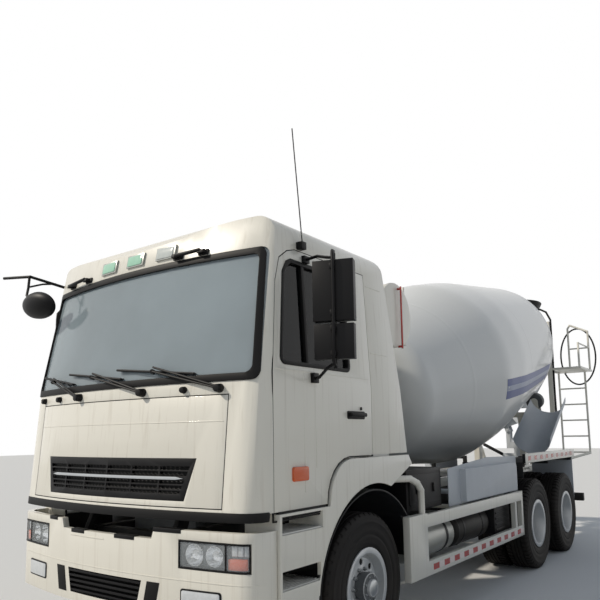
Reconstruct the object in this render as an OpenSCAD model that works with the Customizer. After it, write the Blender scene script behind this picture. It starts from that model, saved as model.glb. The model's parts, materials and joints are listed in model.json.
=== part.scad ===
/* [Overall layout] */
// Front axle to first rear axle
wheelbase = 4025; // [3800:25:4400]
// First rear axle to second rear axle
tandem = 1350; // [1300:10:1450]
// Front axle to the foremost point of the bumper
front_overhang = 1500; // [1450:10:1560]
// Second rear axle to the rearmost point of the ladder
rear_overhang = 2400; // [2300:10:2600]
// Half of the width over body and fenders
half_width = 1240; // [1200:5:1275]

/* [Wheels] */
// Outer radius of a tyre
tyre_r = 540; // [520:5:560]
// Width of a tyre
tyre_w = 295; // [270:5:310]
// Radius of the rim seat
rim_r = 255; // [245:1:265]
// Centre of the truck to the middle of a front tyre
front_track = 1010; // [980:5:1040]
// Centre of the truck to the middle of a rear twin wheel
rear_track = 931; // [915:1:945]
// Middle of one twin tyre to the middle of the other
twin_pitch = 330; // [320:2:350]

/* [Frame] */
// Centre of the truck to the outer face of a frame rail
frame_half = 430; // [400:5:450]
// Height of a frame rail
rail_h = 300; // [260:5:320]
// Top of the frame rails above the ground
rail_top = 1030; // [1000:5:1060]
// Height of the mixer subframe on the rails
subframe_h = 100; // [80:5:120]

/* [Cab] */
// Bottom edge of the cab above the ground
cab_floor = 1205; // [1190:5:1230]
// Flat roof of the cab above the ground
cab_roof = 3100; // [3000:10:3200]
// Front axle to the back wall of the cab at its foot
cab_back = 560; // [480:10:640]
// Thickness of the cab walls and doors
cab_wall = 50; // [40:5:60]
// Height of the belt line under the windscreen
belt_z = 2050; // [2000:10:2100]
// Front axle to the front of the cab on the belt line
belt_front = 1420; // [1380:5:1450]
// Thickness of the front lid
lid_depth = 28; // [22:1:35]
// Gap round doors and lid
seam = 6; // [5:1:10]

/* [Drum] */
// Largest radius of the drum
drum_r = 1180; // [1100:10:1190]
// Tilt of the drum above the horizontal
drum_tilt = 13.2; // [12:0.2:14]
// Thickness of the drum shell
drum_wall = 10; // [8:1:16]
// Radius of the drum mouth
mouth_r = 600; // [560:10:640]
// Radius of the track ring that runs on the rollers
track_r = 985; // [975:5:995]
// Radius of a support roller
roller_r = 130; // [110:5:140]

/* [Chute] */
// Length of the main chute beyond its hinge
chute_len = 1000; // [800:20:1050]
// Inner radius of the chute trough
chute_r = 260; // [220:10:280]
// Rest slope of the main chute below the horizontal
chute_slope = 18; // [15:1:20]

/* [Hidden] */
$fn = 64;

// Small gap between seated pieces
seat_gap = 0.3;
// Radial clearance of pins and bearings
pin_gap = 0.5;
// Clearance between parts that move past each other
run_gap = 6;
// Play of the lift rod's eye on the chute's pin
eye_play = 3;

axle_mid = wheelbase;
axle_rear = wheelbase + tandem;
bogie_y = wheelbase + tandem / 2;
rear_end = axle_rear + rear_overhang;
mid_y = (rear_end - front_overhang) / 2;
rail_bottom = rail_top - rail_h;
rail_wall = 8;
rail_w = 80;
rail_front = -1250;
rail_rear = axle_rear + 1275;
subframe_front = 850;
subframe_top = rail_top + seat_gap + subframe_h;
kingpin_x = front_track - 190;
pivot_y = -1300;
pivot_z = 900;
pivot_r = 18;
hinge_x = half_width - 25;
door_x = half_width - 90;
hinge_y = -1175;
kingpin_r = 25;
tow_r = 20;
front_wall = 30;
spindle_r = 40;
hub_r = 45;

// The drum axis passes through this point, and local z runs up the axis to the rear
drum_y = wheelbase - 1025;
drum_z = 2334;
track_s = 3230;
mouth_s = track_s + 620;
head_s = -970;
head_r = 820;
head_depth = 370;
cyl_front = 360;
cyl_rear = 1050;
track_edge = track_s - 100;
track_edge_r = 1005;
roller_angle = 33;
roller_w = 110;

mouth_y = drum_y + mouth_s * cos(drum_tilt);
mouth_z = drum_z + mouth_s * sin(drum_tilt);
swing_y = mouth_y + 510;
hinge_z = 1700;
hose_r = 15;
hose_y = rear_end - hose_r * 1.04;
hinge_x_chute = 140;
// Foot of the lift cylinder on the yoke and its eye on the chute
cyl_foot = [228, 1245];
chute_eye = [600, -20];
cyl_eye = [hinge_x_chute + chute_eye[0] * cos(chute_slope) + chute_eye[1] * sin(chute_slope),
    hinge_z - chute_eye[0] * sin(chute_slope) + chute_eye[1] * cos(chute_slope)];
cyl_angle = atan2(cyl_eye[1] - cyl_foot[1], cyl_eye[0] - cyl_foot[0]);
cyl_len = norm(cyl_eye - cyl_foot);

colour_white = "#e9e6dd";
colour_side = "#dcdad3";
colour_black = "#1d1f21";
colour_frame = "#2b2e31";
colour_grey = "#9aa0a3";
colour_steel = "#b9bcbd";
colour_glass = "#5f6f76";
colour_silver = "#a9a9a4";

function arc(cx, cy, r, a0, a1, n = 8) =
    [for (i = [0 : n]) let (a = a0 + (a1 - a0) * i / n) [cx + r * cos(a), cy + r * sin(a)]];

module on_axle() translate([0, -mid_y, 0]) children();

// Turns a shape drawn as (Y, Z) so that it is extruded along X, centred
module along_x(len) rotate([90, 0, 90]) linear_extrude(len, center = true) children();

// Turns a shape drawn as (X, Z) so that it is extruded along Y, centred
module along_y(len) rotate([90, 0, 0]) linear_extrude(len, center = true) children();

module rod_x(r, len) rotate([0, 90, 0]) cylinder(h = len, r = r, center = true);

module rod_y(r, len) rotate([90, 0, 0]) cylinder(h = len, r = r, center = true);

module both_sides() {
    children();
    mirror([1, 0, 0]) children();
}

// Round bar from point p to point q
module strut(p, q, r) {
    d = q - p;
    translate(p) rotate([0, acos(d[2] / norm(d)), atan2(d[1], d[0])]) cylinder(h = norm(d), r = r);
}

// Square bar from point p to point q
module square_bar(p, q, w) {
    d = q - p;
    translate(p) rotate([0, acos(d[2] / norm(d)), atan2(d[1], d[0])])
        translate([-w / 2, -w / 2, 0]) cube([w, w, norm(d)]);
}

// Round tube along a row of points with slightly larger ball corners
module pipe(points, r) {
    for (i = [0 : len(points) - 2]) strut(points[i], points[i + 1], r);
    for (i = [1 : 1 : len(points) - 2]) translate(points[i]) sphere(r * 1.04);
}

module box(x0, x1, y0, y1, z0, z1) translate([x0, y0, z0]) cube([x1 - x0, y1 - y0, z1 - z0]);

module on_drum_axis() translate([0, drum_y, drum_z]) rotate([drum_tilt - 90, 0, 0]) children();

// Ladder frame with channel rails and the cross members seated between them
module chassis_frame() on_axle() color(colour_frame) {
    member_half = frame_half - rail_wall - seat_gap;
    member_top = rail_top - rail_wall - seat_gap;
    both_sides() union() {
        difference() {
            box(frame_half - rail_w, frame_half, rail_front, rail_rear, rail_bottom, rail_top);
            box(frame_half - rail_w - 1, frame_half - rail_wall, rail_front - 1, rail_rear + 1,
                rail_bottom + rail_wall, rail_top - rail_wall);
        }
        box(frame_half - rail_w, frame_half, pivot_y - 50, rail_front + 1, pivot_z - 80, pivot_z + 60);
        translate([frame_half + 27, pivot_y, pivot_z]) rod_x(pivot_r, 60);
    }
    for (y = [rail_front + 60, 1500, 2500, 3400, bogie_y, axle_rear + 525])
        box(-member_half, member_half, y - 40, y + 40, rail_top - 150, member_top);
    difference() {
        union() {
            box(-member_half, member_half, rail_rear - 85, rail_rear - 5, rail_top - 150, member_top);
            box(-60, 60, rail_rear - 80, rail_rear + 90, rail_top - 170, rail_top - 148);
        }
        translate([0, rail_rear + 55, 0]) cylinder(h = 2000, r = tow_r);
    }
}

// Engine and radiator as plain masses, gearbox and propeller shafts
module powertrain() on_axle() color("#3a3d3f") {
    engine_half = frame_half - rail_w - 20;
    union() {
        box(-engine_half, engine_half, -450, 650, 620, cab_floor - 35);
        for (y = [-300, 450]) box(-frame_half + rail_wall + seat_gap, frame_half - rail_wall - seat_gap,
            y, y + 80, rail_bottom + rail_wall + seat_gap, rail_bottom + 70);
        translate([0, 1000, 850]) rod_y(200, 720);
        strut([0, 1300, 820], [0, axle_mid - 500 - seat_gap, 570], 50);
        box(-engine_half, engine_half, -960, -860, 640, cab_floor - 35);
        box(-frame_half + rail_wall + seat_gap, frame_half - rail_wall - seat_gap,
            -940, -880, rail_bottom + rail_wall + seat_gap, rail_bottom + 70);
        translate([0, -655, 880]) rod_y(220, 420);
    }
    translate([0, axle_mid + 510, 570]) rod_y(50, 700 - 2 * seat_gap);
}

// One pack of leaf springs whose main leaf is an arc that opens upwards
module leaf_pack(count, span, bend, step) {
    thickness = 14;
    width = 75;
    for (i = [0 : count - 1]) {
        r = bend - i * thickness;
        a = 2 * asin((span - i * step) / 2 / bend);
        translate([0, 0, bend]) rotate([90, 0, 90]) rotate([0, 0, -90 - a / 2])
            rotate_extrude(angle = a) translate([r - thickness, -width / 2]) square([thickness, width]);
    }
}

// Drop beam with bosses and king pins, carried by two leaf springs
module front_axle() on_axle() color(colour_frame) union() {
    beam_z = tyre_r - 90;
    boss_h = 120;
    spring_x = frame_half - rail_w / 2;
    box(-kingpin_x + 75, kingpin_x - 75, -45, 45, beam_z, beam_z + 100);
    box(-kingpin_x, kingpin_x, -40, 40, beam_z + 36, beam_z + 99);
    both_sides() {
        translate([kingpin_x, 0, tyre_r - boss_h / 2]) cylinder(h = boss_h, r = 58);
        translate([kingpin_x, 0, tyre_r - 115]) cylinder(h = 230, r = kingpin_r);
        translate([spring_x, 0, beam_z + 90]) leaf_pack(5, 1500, 2600, 240);
        box(spring_x - 45, spring_x + 45, -80, 80, beam_z + 60, beam_z + 105);
        for (y = [-740, 740]) {
            box(spring_x - 30, spring_x + 30, y - 35, y + 35, beam_z + 150, rail_bottom - seat_gap);
        }
    }
}

// Two driven axles with their housings, and the leaf packs that rest on them
module rear_axles() on_axle() color(colour_frame) {
    tube_end = rear_track - twin_pitch / 2 - tyre_w / 2 + 10;
    spring_x = 500;
    for (y = [axle_mid, axle_rear]) translate([0, y, tyre_r]) union() {
        rod_x(75, 2 * tube_end);
        rod_x(hub_r, 2 * (rear_track + 100));
        rod_y(195, 220);
        translate([0, -250, 30]) rod_y(110, 480);
        translate([0, 0, 0]) rod_y(130, 320);
        both_sides() box(spring_x - 50, spring_x + 50, -70, 70, 60, 100);
    }
    both_sides() {
        union() for (i = [0 : 5]) box(spring_x - 45, spring_x + 45, bogie_y - (740 - 110 * i),
            bogie_y + (740 - 110 * i), tyre_r + 100 + seat_gap + 15 * i, tyre_r + 116 + 15 * i);
        box(frame_half - rail_w, frame_half, bogie_y - 90, bogie_y + 90, tyre_r - 60, rail_bottom - seat_gap);
        box(spring_x - 45, spring_x + 45, bogie_y - 80, bogie_y + 80, tyre_r - 60, tyre_r + 100);
    }
    translate([0, bogie_y, tyre_r - 120]) rod_x(60 - seat_gap, 2 * spring_x + 100);
}

// Front of cab and bumper seen from above: bowed front with corners tangent to bow and flank
function plan_points(front, rear, half, inset) =
    let (bow = 5060, corner = 160, swing = asin((half - corner) / (bow - corner)),
        corner_y = bow - front - (bow - corner) * cos(swing))
    concat(
        arc(0, bow - front, bow - inset, -90 - swing, -90 + swing, 12),
        arc(half - corner, corner_y, corner - inset, -80 + swing, 0, 6),
        [[half - inset, rear - inset], [-half + inset, rear - inset]],
        arc(-half + corner, corner_y, corner - inset, 180, 260 - swing, 6));

// The same plan, drawn shorter in y so that it has its true depth where a raked prism is cut level
module front_plan(front, rear, half, inset = 0, rake = 0)
    polygon([for (p = plan_points(front, rear, half, inset)) [p[0], (p[1] + front) * cos(rake) - front]]);

// Steel bumper with lamp openings and a lower air opening
module bumper() on_axle() color(colour_white) union() {
    difference() {
        translate([0, 0, 560]) linear_extrude(540) difference() {
            front_plan(front_overhang, -1160, half_width - 20);
            front_plan(front_overhang, 0, half_width - 20, 45);
        }
        translate([0, -front_overhang, 0]) along_y(300)
            polygon([[-470, 1035], [470, 1035], [495, 1110], [-495, 1110]]);
        lamp_windows(0);
        translate([0, -front_overhang, 690]) along_y(300)
            polygon([[-390, 85], [390, 85], [350, -75], [-350, -75]]);
    }
    both_sides() box(frame_half - 70, frame_half, -front_overhang + 40, pivot_y - 50 - seat_gap,
        pivot_z - 80, pivot_z + 60);
    for (i = [0 : 4]) box(-385, 385, -front_overhang + 15, -front_overhang + 45, 622 + i * 32, 636 + i * 32);
}

module lamp_windows(gap) both_sides() {
    translate([940, -front_overhang + 100, 0]) along_y(500)
        polygon([[-250 + gap, 875 + gap], [235 - gap, 872 + gap], [235 - gap, 1042 - gap],
            [-250 + gap, 1046 - gap]]);
}

// Headlamp units that fill the bumper openings
module headlamps() on_axle() color("#c9ccce") intersection() {
    translate([0, 0, 800]) linear_extrude(300) difference() {
        front_plan(front_overhang, -1160, half_width - 20, 4);
        front_plan(front_overhang, 0, half_width - 20, 90);
    }
    lamp_windows(seat_gap);
}

// Fender panels over the front wheels with the entry steps and dark liners
module front_fenders() on_axle() color(colour_side) {
    arch_r = 765;
    step_front = -1150;
    step_rear = -690;
    plate_out = half_width;
    plate_in = half_width - 30;
    arch_corner = [-315, cab_floor + 5];
    both_sides() union() {
        translate([(plate_out + plate_in) / 2, 0, 0]) along_x(plate_out - plate_in) difference() {
            polygon(concat(
                [[step_front, 470], [step_front, cab_floor - 15]],
                [[arch_corner[0] - 292, cab_floor - 15]],
                arc(arch_corner[0], arch_corner[1], 282, 175, 92),
                [[cab_back - 15, cab_floor + 288], [cab_back + 45, 1420], [240, 1262], [240, 540],
                 [step_rear, 470]]));
            translate([0, tyre_r]) circle(r = arch_r, $fn = 96);
            translate([step_front + 20, cab_floor - 140]) square([430, 110]);
            translate([step_front + 20, 740]) square([400, 115]);
        }
        difference() {
            box(960, plate_in + 1, step_front, step_rear, 470, cab_floor - 15);
            box(940, plate_in + 2, step_front + 20, step_rear - 10, cab_floor - 140, cab_floor - 30);
            box(940, plate_in + 2, step_front + 20, step_rear - 30, 740, 855);
            box(980, plate_in - 20, step_front + 20, step_rear - 20, 500, 720);
        }
        difference() {
            translate([920, 0, tyre_r]) rod_x(715, 590);
            translate([920, 0, tyre_r]) rod_x(703, 600);
            box(600, 1300, -800, 800, -300, tyre_r + 120);
            box(half_width - 85, 1300, 500, 800, -300, 1000);
        }
        strut([frame_half + seat_gap, -900, 930], [970, -900, 930], 25);
        strut([frame_half + seat_gap, 560, 950], [650, 560, 950], 25);
    }
}

// Side guard frames between the wheels with the tube hoop behind the front wheel
module side_guards() on_axle() color(colour_white) both_sides() union() {
    face = half_width - 18;
    y0 = 560;
    y1 = axle_mid - 545;
    box(face - 60, face, y0, y0 + 335, 470, 985);
    box(face - 40, face, y0, y1, 870, 975);
    box(face - 40, face, y0, y1, 470, 585);
    for (y = [y1 - 60, y1 - 290]) box(face - 50, face, y, y + 60, 470, 975);
    for (y = [y0 + 170, 2000, y1 - 150]) strut([frame_half + seat_gap, y, 920], [face - 30, y, 920], 22);
    pipe([[face - 30, y0 + 290, 980], [face - 30, y0 + 290, 1180], [face - 40, y0 + 240, 1245],
        [face - 60, y0 + 150, 1285], [face - 90, y0 - 150, 1300]], 28);
}

// Light grey panels above the side guards, with a flat tank in front of each
module side_panels() on_axle() color(colour_grey) both_sides() {
    face = half_width - 18;
    y1 = axle_mid - 530;
    union() {
        translate([face - 66, 0, 0]) along_x(10)
            polygon([[1500, 975 + seat_gap], [1500, 1330], [2530, 1400], [y1, 1380], [y1, 975 + seat_gap]]);
        translate([face - 45, 0, 0]) along_x(90) polygon(concat(
            [[1780, 1000], [1780, 1315]], arc(y1 - 230, 1255, 60, 90, 0), [[y1 - 170, 1000]]));
    }
    for (y = [1900, y1 - 300]) strut([frame_half + seat_gap, y, 1080], [face - 90 - seat_gap, y, 1080], 25);
}

// Mudguards over the rear twin wheels with their marker rail and flaps, on brackets from the frame
module rear_fenders() on_axle() color("#4a4c4b") both_sides() {
    y0 = axle_mid - 415;
    y1 = axle_rear + 605;
    inner = rear_track - twin_pitch / 2 - tyre_w / 2 - 5;
    outer = half_width - 35;
    deck = 1290;
    box(outer + seat_gap, half_width, y0, y1, deck, 1400);
    box(inner, outer, y0, y1, deck, deck + 8);
    box(inner, outer, y1 - 12, y1, 470, deck - seat_gap);
    box(inner, outer, y0, y0 + 10, 1120, deck - seat_gap);
    for (y = [y0 + 60, bogie_y, y1 - 60]) union() {
        strut([frame_half + seat_gap, y, deck - 25 - seat_gap], [outer, y, deck - 25 - seat_gap], 25);
        box(frame_half + seat_gap, frame_half + 50, y - 30, y + 30, 960, deck - seat_gap);
    }
}

// Air tanks on the left and the fuel tank on the right, hung from the rails
module tanks() on_axle() color(colour_silver) {
    union() {
        for (y = [1330, 2260]) {
            translate([930, y, 700]) rod_y(165, 800);
            for (dy = [-250, 250]) box(frame_half + seat_gap, 800, y + dy - 20, y + dy + 20, 740, 800);
        }
    }
    union() {
        translate([-820, 1650, 660]) along_y(1300) polygon(concat(
            arc(230, 150, 60, 0, 90), arc(-230, 150, 60, 90, 180),
            arc(-230, -150, 60, 180, 270), arc(230, -150, 60, 270, 360)));
        for (y = [1250, 2050]) box(-560, -frame_half - seat_gap, y - 25, y + 25, 760, 820);
    }
}

// Battery box and air cleaner housing behind the cab
module equipment_boxes() on_axle() color(colour_black) {
    union() {
        box(560, 1130, 2760, 3250, 560, 850);
        box(frame_half + seat_gap, 570, 2850, 3150, 760, 840);
    }
    union() {
        box(560, 1120, 720, 1420, 1000, 1350);
        box(frame_half + seat_gap, 570, 900, 1200, 960, 1020);
        translate([-760, 1000, 1130]) cylinder(h = 720, r = 180);
        box(-770, -frame_half - seat_gap, 900, 1100, 960, 1130);
    }
}

// Mixer subframe on the rails with its tail plate and the post that the chute turns on
module subframe() on_axle() color(colour_white) {
    tail_y = rail_rear + 80;
    both_sides() box(frame_half - rail_w, frame_half, subframe_front, rail_rear, rail_top + seat_gap, subframe_top);
    box(-frame_half, frame_half, rail_rear + seat_gap, tail_y, rail_top - 120, subframe_top);
    union() {
        box(-60, 60, tail_y + seat_gap, swing_y, rail_top, subframe_top - 1);
        translate([0, swing_y, rail_top - 60]) cylinder(h = 220, r = 75);
        translate([0, swing_y, rail_top]) cylinder(h = 480, r = 40);
    }
}

// Front pedestal, rear pedestal with its roller brackets, hopper posts and their braces
module drum_supports() on_axle() color(colour_white) {
    reach = track_r + roller_r + seat_gap;
    roller_x = reach * sin(roller_angle);
    roller_down = reach * cos(roller_angle);
    roller_y = drum_y + track_s * cos(drum_tilt) + roller_down * sin(drum_tilt);
    roller_z = drum_z + track_s * sin(drum_tilt) - roller_down * cos(drum_tilt);
    beam_top = roller_z - roller_r - 45;
    beam_low = beam_top - 80;
    beam_half = 90;
    post_x = 720;
    post_y = mouth_y + 200;
    post_half = 35;
    tail_y = rail_rear + 80;
    foot_z = subframe_top + seat_gap;
    both_sides() {
        box(frame_half - 70, frame_half, 1300, 1700, foot_z, 1560 - seat_gap);
        box(frame_half - 90, frame_half - 2, roller_y - 80, roller_y + 80, foot_z, beam_low - seat_gap);
        box(post_x - 33, post_x + 33, roller_y + beam_half + seat_gap, post_y - post_half - seat_gap,
            beam_top - 70, beam_top - 5);
        box(post_x - post_half, post_x + post_half, post_y - post_half, post_y + post_half, beam_top - 75, 3540);
        difference() {
            square_bar([frame_half - 60, tail_y - 45, subframe_top - 60], [post_x, post_y, beam_top - 40], 50);
            box(0, frame_half + 100, tail_y - 200, tail_y + 200, 900, foot_z);
            box(post_x - post_half - seat_gap, post_x + 100, post_y - post_half - seat_gap, post_y + 200, 1500, 3000);
        }
    }
    box(-frame_half, frame_half, 1300, 1700, 1560, 1640);
    box(-post_x - 30, post_x + 30, roller_y - beam_half, roller_y + beam_half, beam_low, beam_top);
    both_sides() difference() {
        on_drum_axis() translate([roller_x, roller_down, track_s]) union() {
            for (end = [-1, 1]) translate([0, 0, end * (roller_w / 2 + 15) - 7]) {
                cylinder(h = 14, r = 60);
                translate([-58, 0, 0]) cube([116, roller_r + 90, 14]);
            }
            cylinder(h = roller_w + 40, r = 25, center = true);
        }
        box(0, 2000, 0, 9000, 0, beam_top + seat_gap);
    }
}

// Reduction gear with its motor and the yoke that carries it
module drum_gearbox() on_axle() color("#6f7475") union() {
    on_drum_axis() difference() {
        union() {
            translate([0, 0, -1760]) cylinder(h = 400, r = 235);
            translate([0, 0, -1920]) cylinder(h = 170, r = 120);
            translate([0, 0, -1640]) cylinder(h = 60, r = 290);
        }
        translate([0, 0, -1600]) cylinder(h = 300, r = 80 + pin_gap);
    }
    box(-250, 250, 1330, 1640, 1640 + seat_gap, 1780);
}

// Transverse water tank behind the cab on two posts
module water_tank() on_axle() color(colour_white) {
    tank_y = 960;
    tank_z = 2750;
    union() {
        translate([0, tank_y, tank_z]) rod_x(300, 1900);
        both_sides() {
            box(frame_half - 100, frame_half + 20, tank_y - 160, tank_y + 160, tank_z - 310, tank_z - 240);
            translate([930, tank_y + 200, tank_z - 260]) cylinder(h = 560, r = 12);
            for (z = [tank_z - 215, tank_z + 215]) translate([930, tank_y + 100, z]) rod_y(9, 200);
        }
    }
    both_sides() box(frame_half - 80, frame_half, tank_y - 40, tank_y + 40,
        subframe_top + seat_gap, tank_z - 310 - seat_gap);
}

// Outer radius of the feed hopper at height z
function hopper_r(z) = 300 + 260 * (z - mouth_z - 250) / 470;

// Round feed hopper whose spout reaches into the drum mouth
module feed_hopper() on_axle() color(colour_white) {
    centre_y = mouth_y + 400;
    rim_z = mouth_z + 720;
    throat_z = mouth_z + 250;
    spout_top = [0, centre_y, throat_z + 40];
    spout_end = [0, mouth_y - 40, mouth_z - 40];
    spout_dir = (spout_top - spout_end) / norm(spout_top - spout_end);
    difference() {
        union() {
            translate([0, centre_y, throat_z]) cylinder(h = rim_z - throat_z, r1 = hopper_r(throat_z), r2 = hopper_r(rim_z));
            strut(spout_top, spout_end, 250);
            both_sides() box(240, 685 - seat_gap, mouth_y + 170, mouth_y + 230, throat_z + 30, throat_z + 90);
        }
        translate([0, centre_y, throat_z + 12]) cylinder(h = rim_z - throat_z, r1 = hopper_r(throat_z) - 8, r2 = hopper_r(rim_z) + 2);
        strut(spout_top + 200 * spout_dir, spout_end - 30 * spout_dir, 240);
    }
}

// Funnel under the mouth that leads to the main chute
module discharge_hopper() on_axle() color(colour_grey) {
    front = mouth_y + 130;
    rear = mouth_y + 640;
    top = mouth_z - 330;
    low = hinge_z + 390;
    half = 685 - seat_gap;
    union() {
        translate([0, (front + rear) / 2, 0]) along_y(rear - front) difference() {
            polygon([[-half, top], [-200, low], [200, low], [half, top]]);
            polygon([[-half + 10, top + 1], [-190, low - 1], [190, low - 1], [half - 10, top + 1]]);
        }
        translate([0, rear, 0]) along_y(10) polygon([[-half, top], [-200, low], [200, low], [half, top]]);
    }
}

// Spare chute stowed on the left rear fender, held by a foot and by a bar to the pedestal
module extension_chute() on_axle() color(colour_grey) {
    len = 1150;
    r = 255;
    wall = 6;
    beam_front = drum_y + track_s * cos(drum_tilt) + (track_r + roller_r) * cos(roller_angle) * sin(drum_tilt) - 90;
    difference() {
        union() {
            on_spare() difference() {
                translate([0, len / 2, 0]) rod_y(r + wall, len);
                box(-r - wall - 1, r + wall + 1, -1, len + 1, 0, r + wall + 1);
            }
            box(880, 940, axle_mid + 1120, axle_mid + 1180, 1298 + seat_gap, 1388);
            box(690, 730, axle_mid + 1880, beam_front - 1, 1915, 1955);
        }
        on_spare() translate([0, len / 2, 0]) rod_y(r, len + 2);
    }
}

module on_spare() translate([910, axle_mid + 975, 1570]) rotate([32, 0, 0]) children();

// Half round trough along y with its open side up
module trough(len, r, t) difference() {
    translate([0, len / 2, 0]) rod_y(r + t, len);
    translate([0, len / 2, 0]) rod_y(r, len + 2);
    box(-r - t - 1, r + t + 1, -1, len + 1, 0, r + t + 1);
}

// Ladder with platform and handrail at the left rear
module rear_ladder() on_axle() color(colour_white) union() {
    ladder_y = hose_y - hose_r - 17 - seat_gap;
    deck_z = 2700;
    rails = [660, 1100];
    deck_in = 755 + seat_gap;
    for (x = rails) strut([x, ladder_y, 1270], [x, ladder_y, deck_z + 10], 17);
    for (z = [1300 : 280 : deck_z - 100]) strut([rails[0], ladder_y, z], [rails[1], ladder_y, z], 13);
    difference() {
        box(deck_in, 1220, mouth_y + 165, ladder_y + 15, deck_z, deck_z + 35);
        translate([775, mouth_y + 195, deck_z - 1]) cylinder(h = 40, r = 25);
    }
    box(rails[0] - 18, deck_in + 10, ladder_y - 250, ladder_y + 15, deck_z, deck_z + 35);
    pipe([[860, ladder_y, deck_z], [860, ladder_y, 3500], [900, ladder_y, 3560], [1190, ladder_y, 3420],
        [1190, ladder_y, deck_z]], 17);
    strut([860, ladder_y, 3130], [1190, ladder_y, 3130], 13);
    strut([1190, ladder_y, 3130], [1190, mouth_y + 200, 3130], 13);
    strut([1190, mouth_y + 200, deck_z], [1190, mouth_y + 200, 3140], 17);
    strut([frame_half + 25, rail_rear + 50, 1060], [1100, ladder_y, 1290], 22);
    box(frame_half + seat_gap, frame_half + 40, rail_rear + 20, rail_rear + 78, 1000, 1110);
    strut([rails[0], ladder_y, 1300], [frame_half + 25, rail_rear + 50, 1060], 22);
}

// Black water hoses: one up the left post, one hung in a loop on the handrail
module water_hoses() on_axle() color(colour_black) {
    post_y = mouth_y + 200;
    pipe([[775, post_y, 1990], [775, post_y - 10, 2400], [775, post_y, 3000], [775, post_y, 3570],
        [700, post_y + 40, 3720], [590, mouth_y + 310, 3790], [hopper_r(3816) - 5.7, mouth_y + 330, 3800]], 16);
    loop_x = 1010;
    loop_z = 3000;
    loop = concat(arc(loop_x, loop_z + 170, 150, 180, 0, 5), arc(loop_x, loop_z - 330, 150, 0, -180, 5));
    pipe([for (p = concat(loop, [loop[0] - [0, 60]])) [p[0], hose_y, p[1]]], hose_r);
}

// Rear protection bar with a lamp cluster at each end
module rear_lamps() on_axle() color("#8e2f28") union() {
    y = rail_rear + 110;
    box(-1150, 1150, y, y + 80, 560, 680);
    both_sides() {
        box(frame_half - 70, frame_half, y + 1, y + 60, 600, rail_top - 130);
        box(frame_half - 70, frame_half, rail_rear + 80 + seat_gap, y + 2, rail_top - 115, rail_top);
        box(frame_half - 70, frame_half, y + 1, y + 60, rail_top - 140, rail_top);
        box(800, 1140, y + 79, y + 130, 570, 670);
    }
}

// Drum shell: domed head, front cone, cylinder, rear cone and mouth cone, with the track ring
module drum() on_axle() color(colour_white) {
    // Stations of the shell from the head to the mouth: distance along the axis, radius
    stations = [[cyl_front, drum_r], [cyl_rear, drum_r], [track_edge, track_edge_r], [mouth_s, mouth_r]];
    dome = [for (i = [0 : 8]) let (a = 20 + 70 * i / 8)
        [head_s - head_depth * cos(a), head_r * sin(a)]];
    dome_in = [for (i = [0 : 8]) let (a = 20 + 70 * i / 8)
        [head_s - (head_depth - drum_wall) * cos(a), (head_r - drum_wall) * sin(a)]];
    shell = concat([for (p = concat(dome, stations)) [p[1], p[0]]],
        [for (i = [len(stations) - 1 : -1 : 0]) [stations[i][1] - drum_wall * 1.03, stations[i][0]]],
        [for (i = [len(dome_in) - 1 : -1 : 0]) [dome_in[i][1], dome_in[i][0]]]);
    on_drum_axis() union() {
        rotate_extrude($fn = 128) polygon(shell);
        rotate_extrude($fn = 128) polygon([[track_edge_r - 130, track_s - 45], [track_r, track_s - 45],
            [track_r, track_s + 45], [track_edge_r - 130, track_s + 45]]);
        translate([0, 0, mouth_s - 40]) rotate_extrude($fn = 128) translate([mouth_r - 4, 0]) square([36, 40]);
        translate([0, 0, head_s - head_depth + 10]) cylinder(h = 40, r = 300);
        translate([0, 0, -1560]) cylinder(h = 260, r = 80);
    }
}

// Support roller under the track ring, left (side 1) or right (side -1)
module roller(side) on_axle() color("#6f7475") on_drum_axis() {
    reach = track_r + roller_r + seat_gap;
    translate([side * reach * sin(roller_angle), reach * cos(roller_angle), track_s]) difference() {
        cylinder(h = roller_w, r = roller_r, center = true);
        cylinder(h = roller_w + 2, r = 25 + pin_gap, center = true);
    }
}

// The stowed chute points to the truck's right; drawn here along local x
module on_swing() translate([0, swing_y, 0]) rotate([0, 0, 180]) children();

// Yoke that turns on the rear pivot pin and carries the chute hinge
module chute_swing() on_axle() color(colour_grey) on_swing() union() {
    difference() {
        union() {
            translate([0, 0, rail_top + 160 + seat_gap]) cylinder(h = 320, r = 70);
            box(0, 260, -40, 40, 1200, 1290);
            for (y = [-70, 40]) box(-20, 175, y, y + 30, 1380, 1490);
            for (y = [-70, 40]) box(105, 175, y, y + 30, 1380, hinge_z + 35);
            translate([hinge_x_chute, 0, hinge_z]) rod_y(20, 220);
        }
        translate([0, 0, rail_top]) cylinder(h = 600, r = 40 + pin_gap);
        box(195, 300, -31, 31, 1190, 1310);
    }
    translate([cyl_foot[0], 0, cyl_foot[1]]) rod_y(8, 70);
}

// Main chute trough with its hinge lugs
module chute_main() on_axle() color(colour_grey) on_swing()
    translate([hinge_x_chute, 0, hinge_z]) rotate([0, chute_slope, 0]) union() {
        difference() {
            union() {
                translate([-200, 0, 330]) rotate([0, 0, -90]) trough(chute_len + 200, chute_r, 6);
                for (y = [-105, 80]) box(-35, 35, y, y + 25, -30, 110);
                for (y = [-60, 40]) box(560, 640, y, y + 20, -60, 110);
            }
            rod_y(20 + pin_gap, 400);
            translate([-201, 0, 330]) rotate([0, 90, 0]) cylinder(h = chute_len + 300, r = chute_r);
        }
        translate([chute_eye[0], 0, chute_eye[1]]) rod_y(12, 110);
    }

// Lift cylinder between the yoke and the chute, drawn along its own axis from its foot
module on_cylinder() on_swing() translate([cyl_foot[0], 0, cyl_foot[1]]) rotate([0, 90 - cyl_angle, 0]) children();

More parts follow.
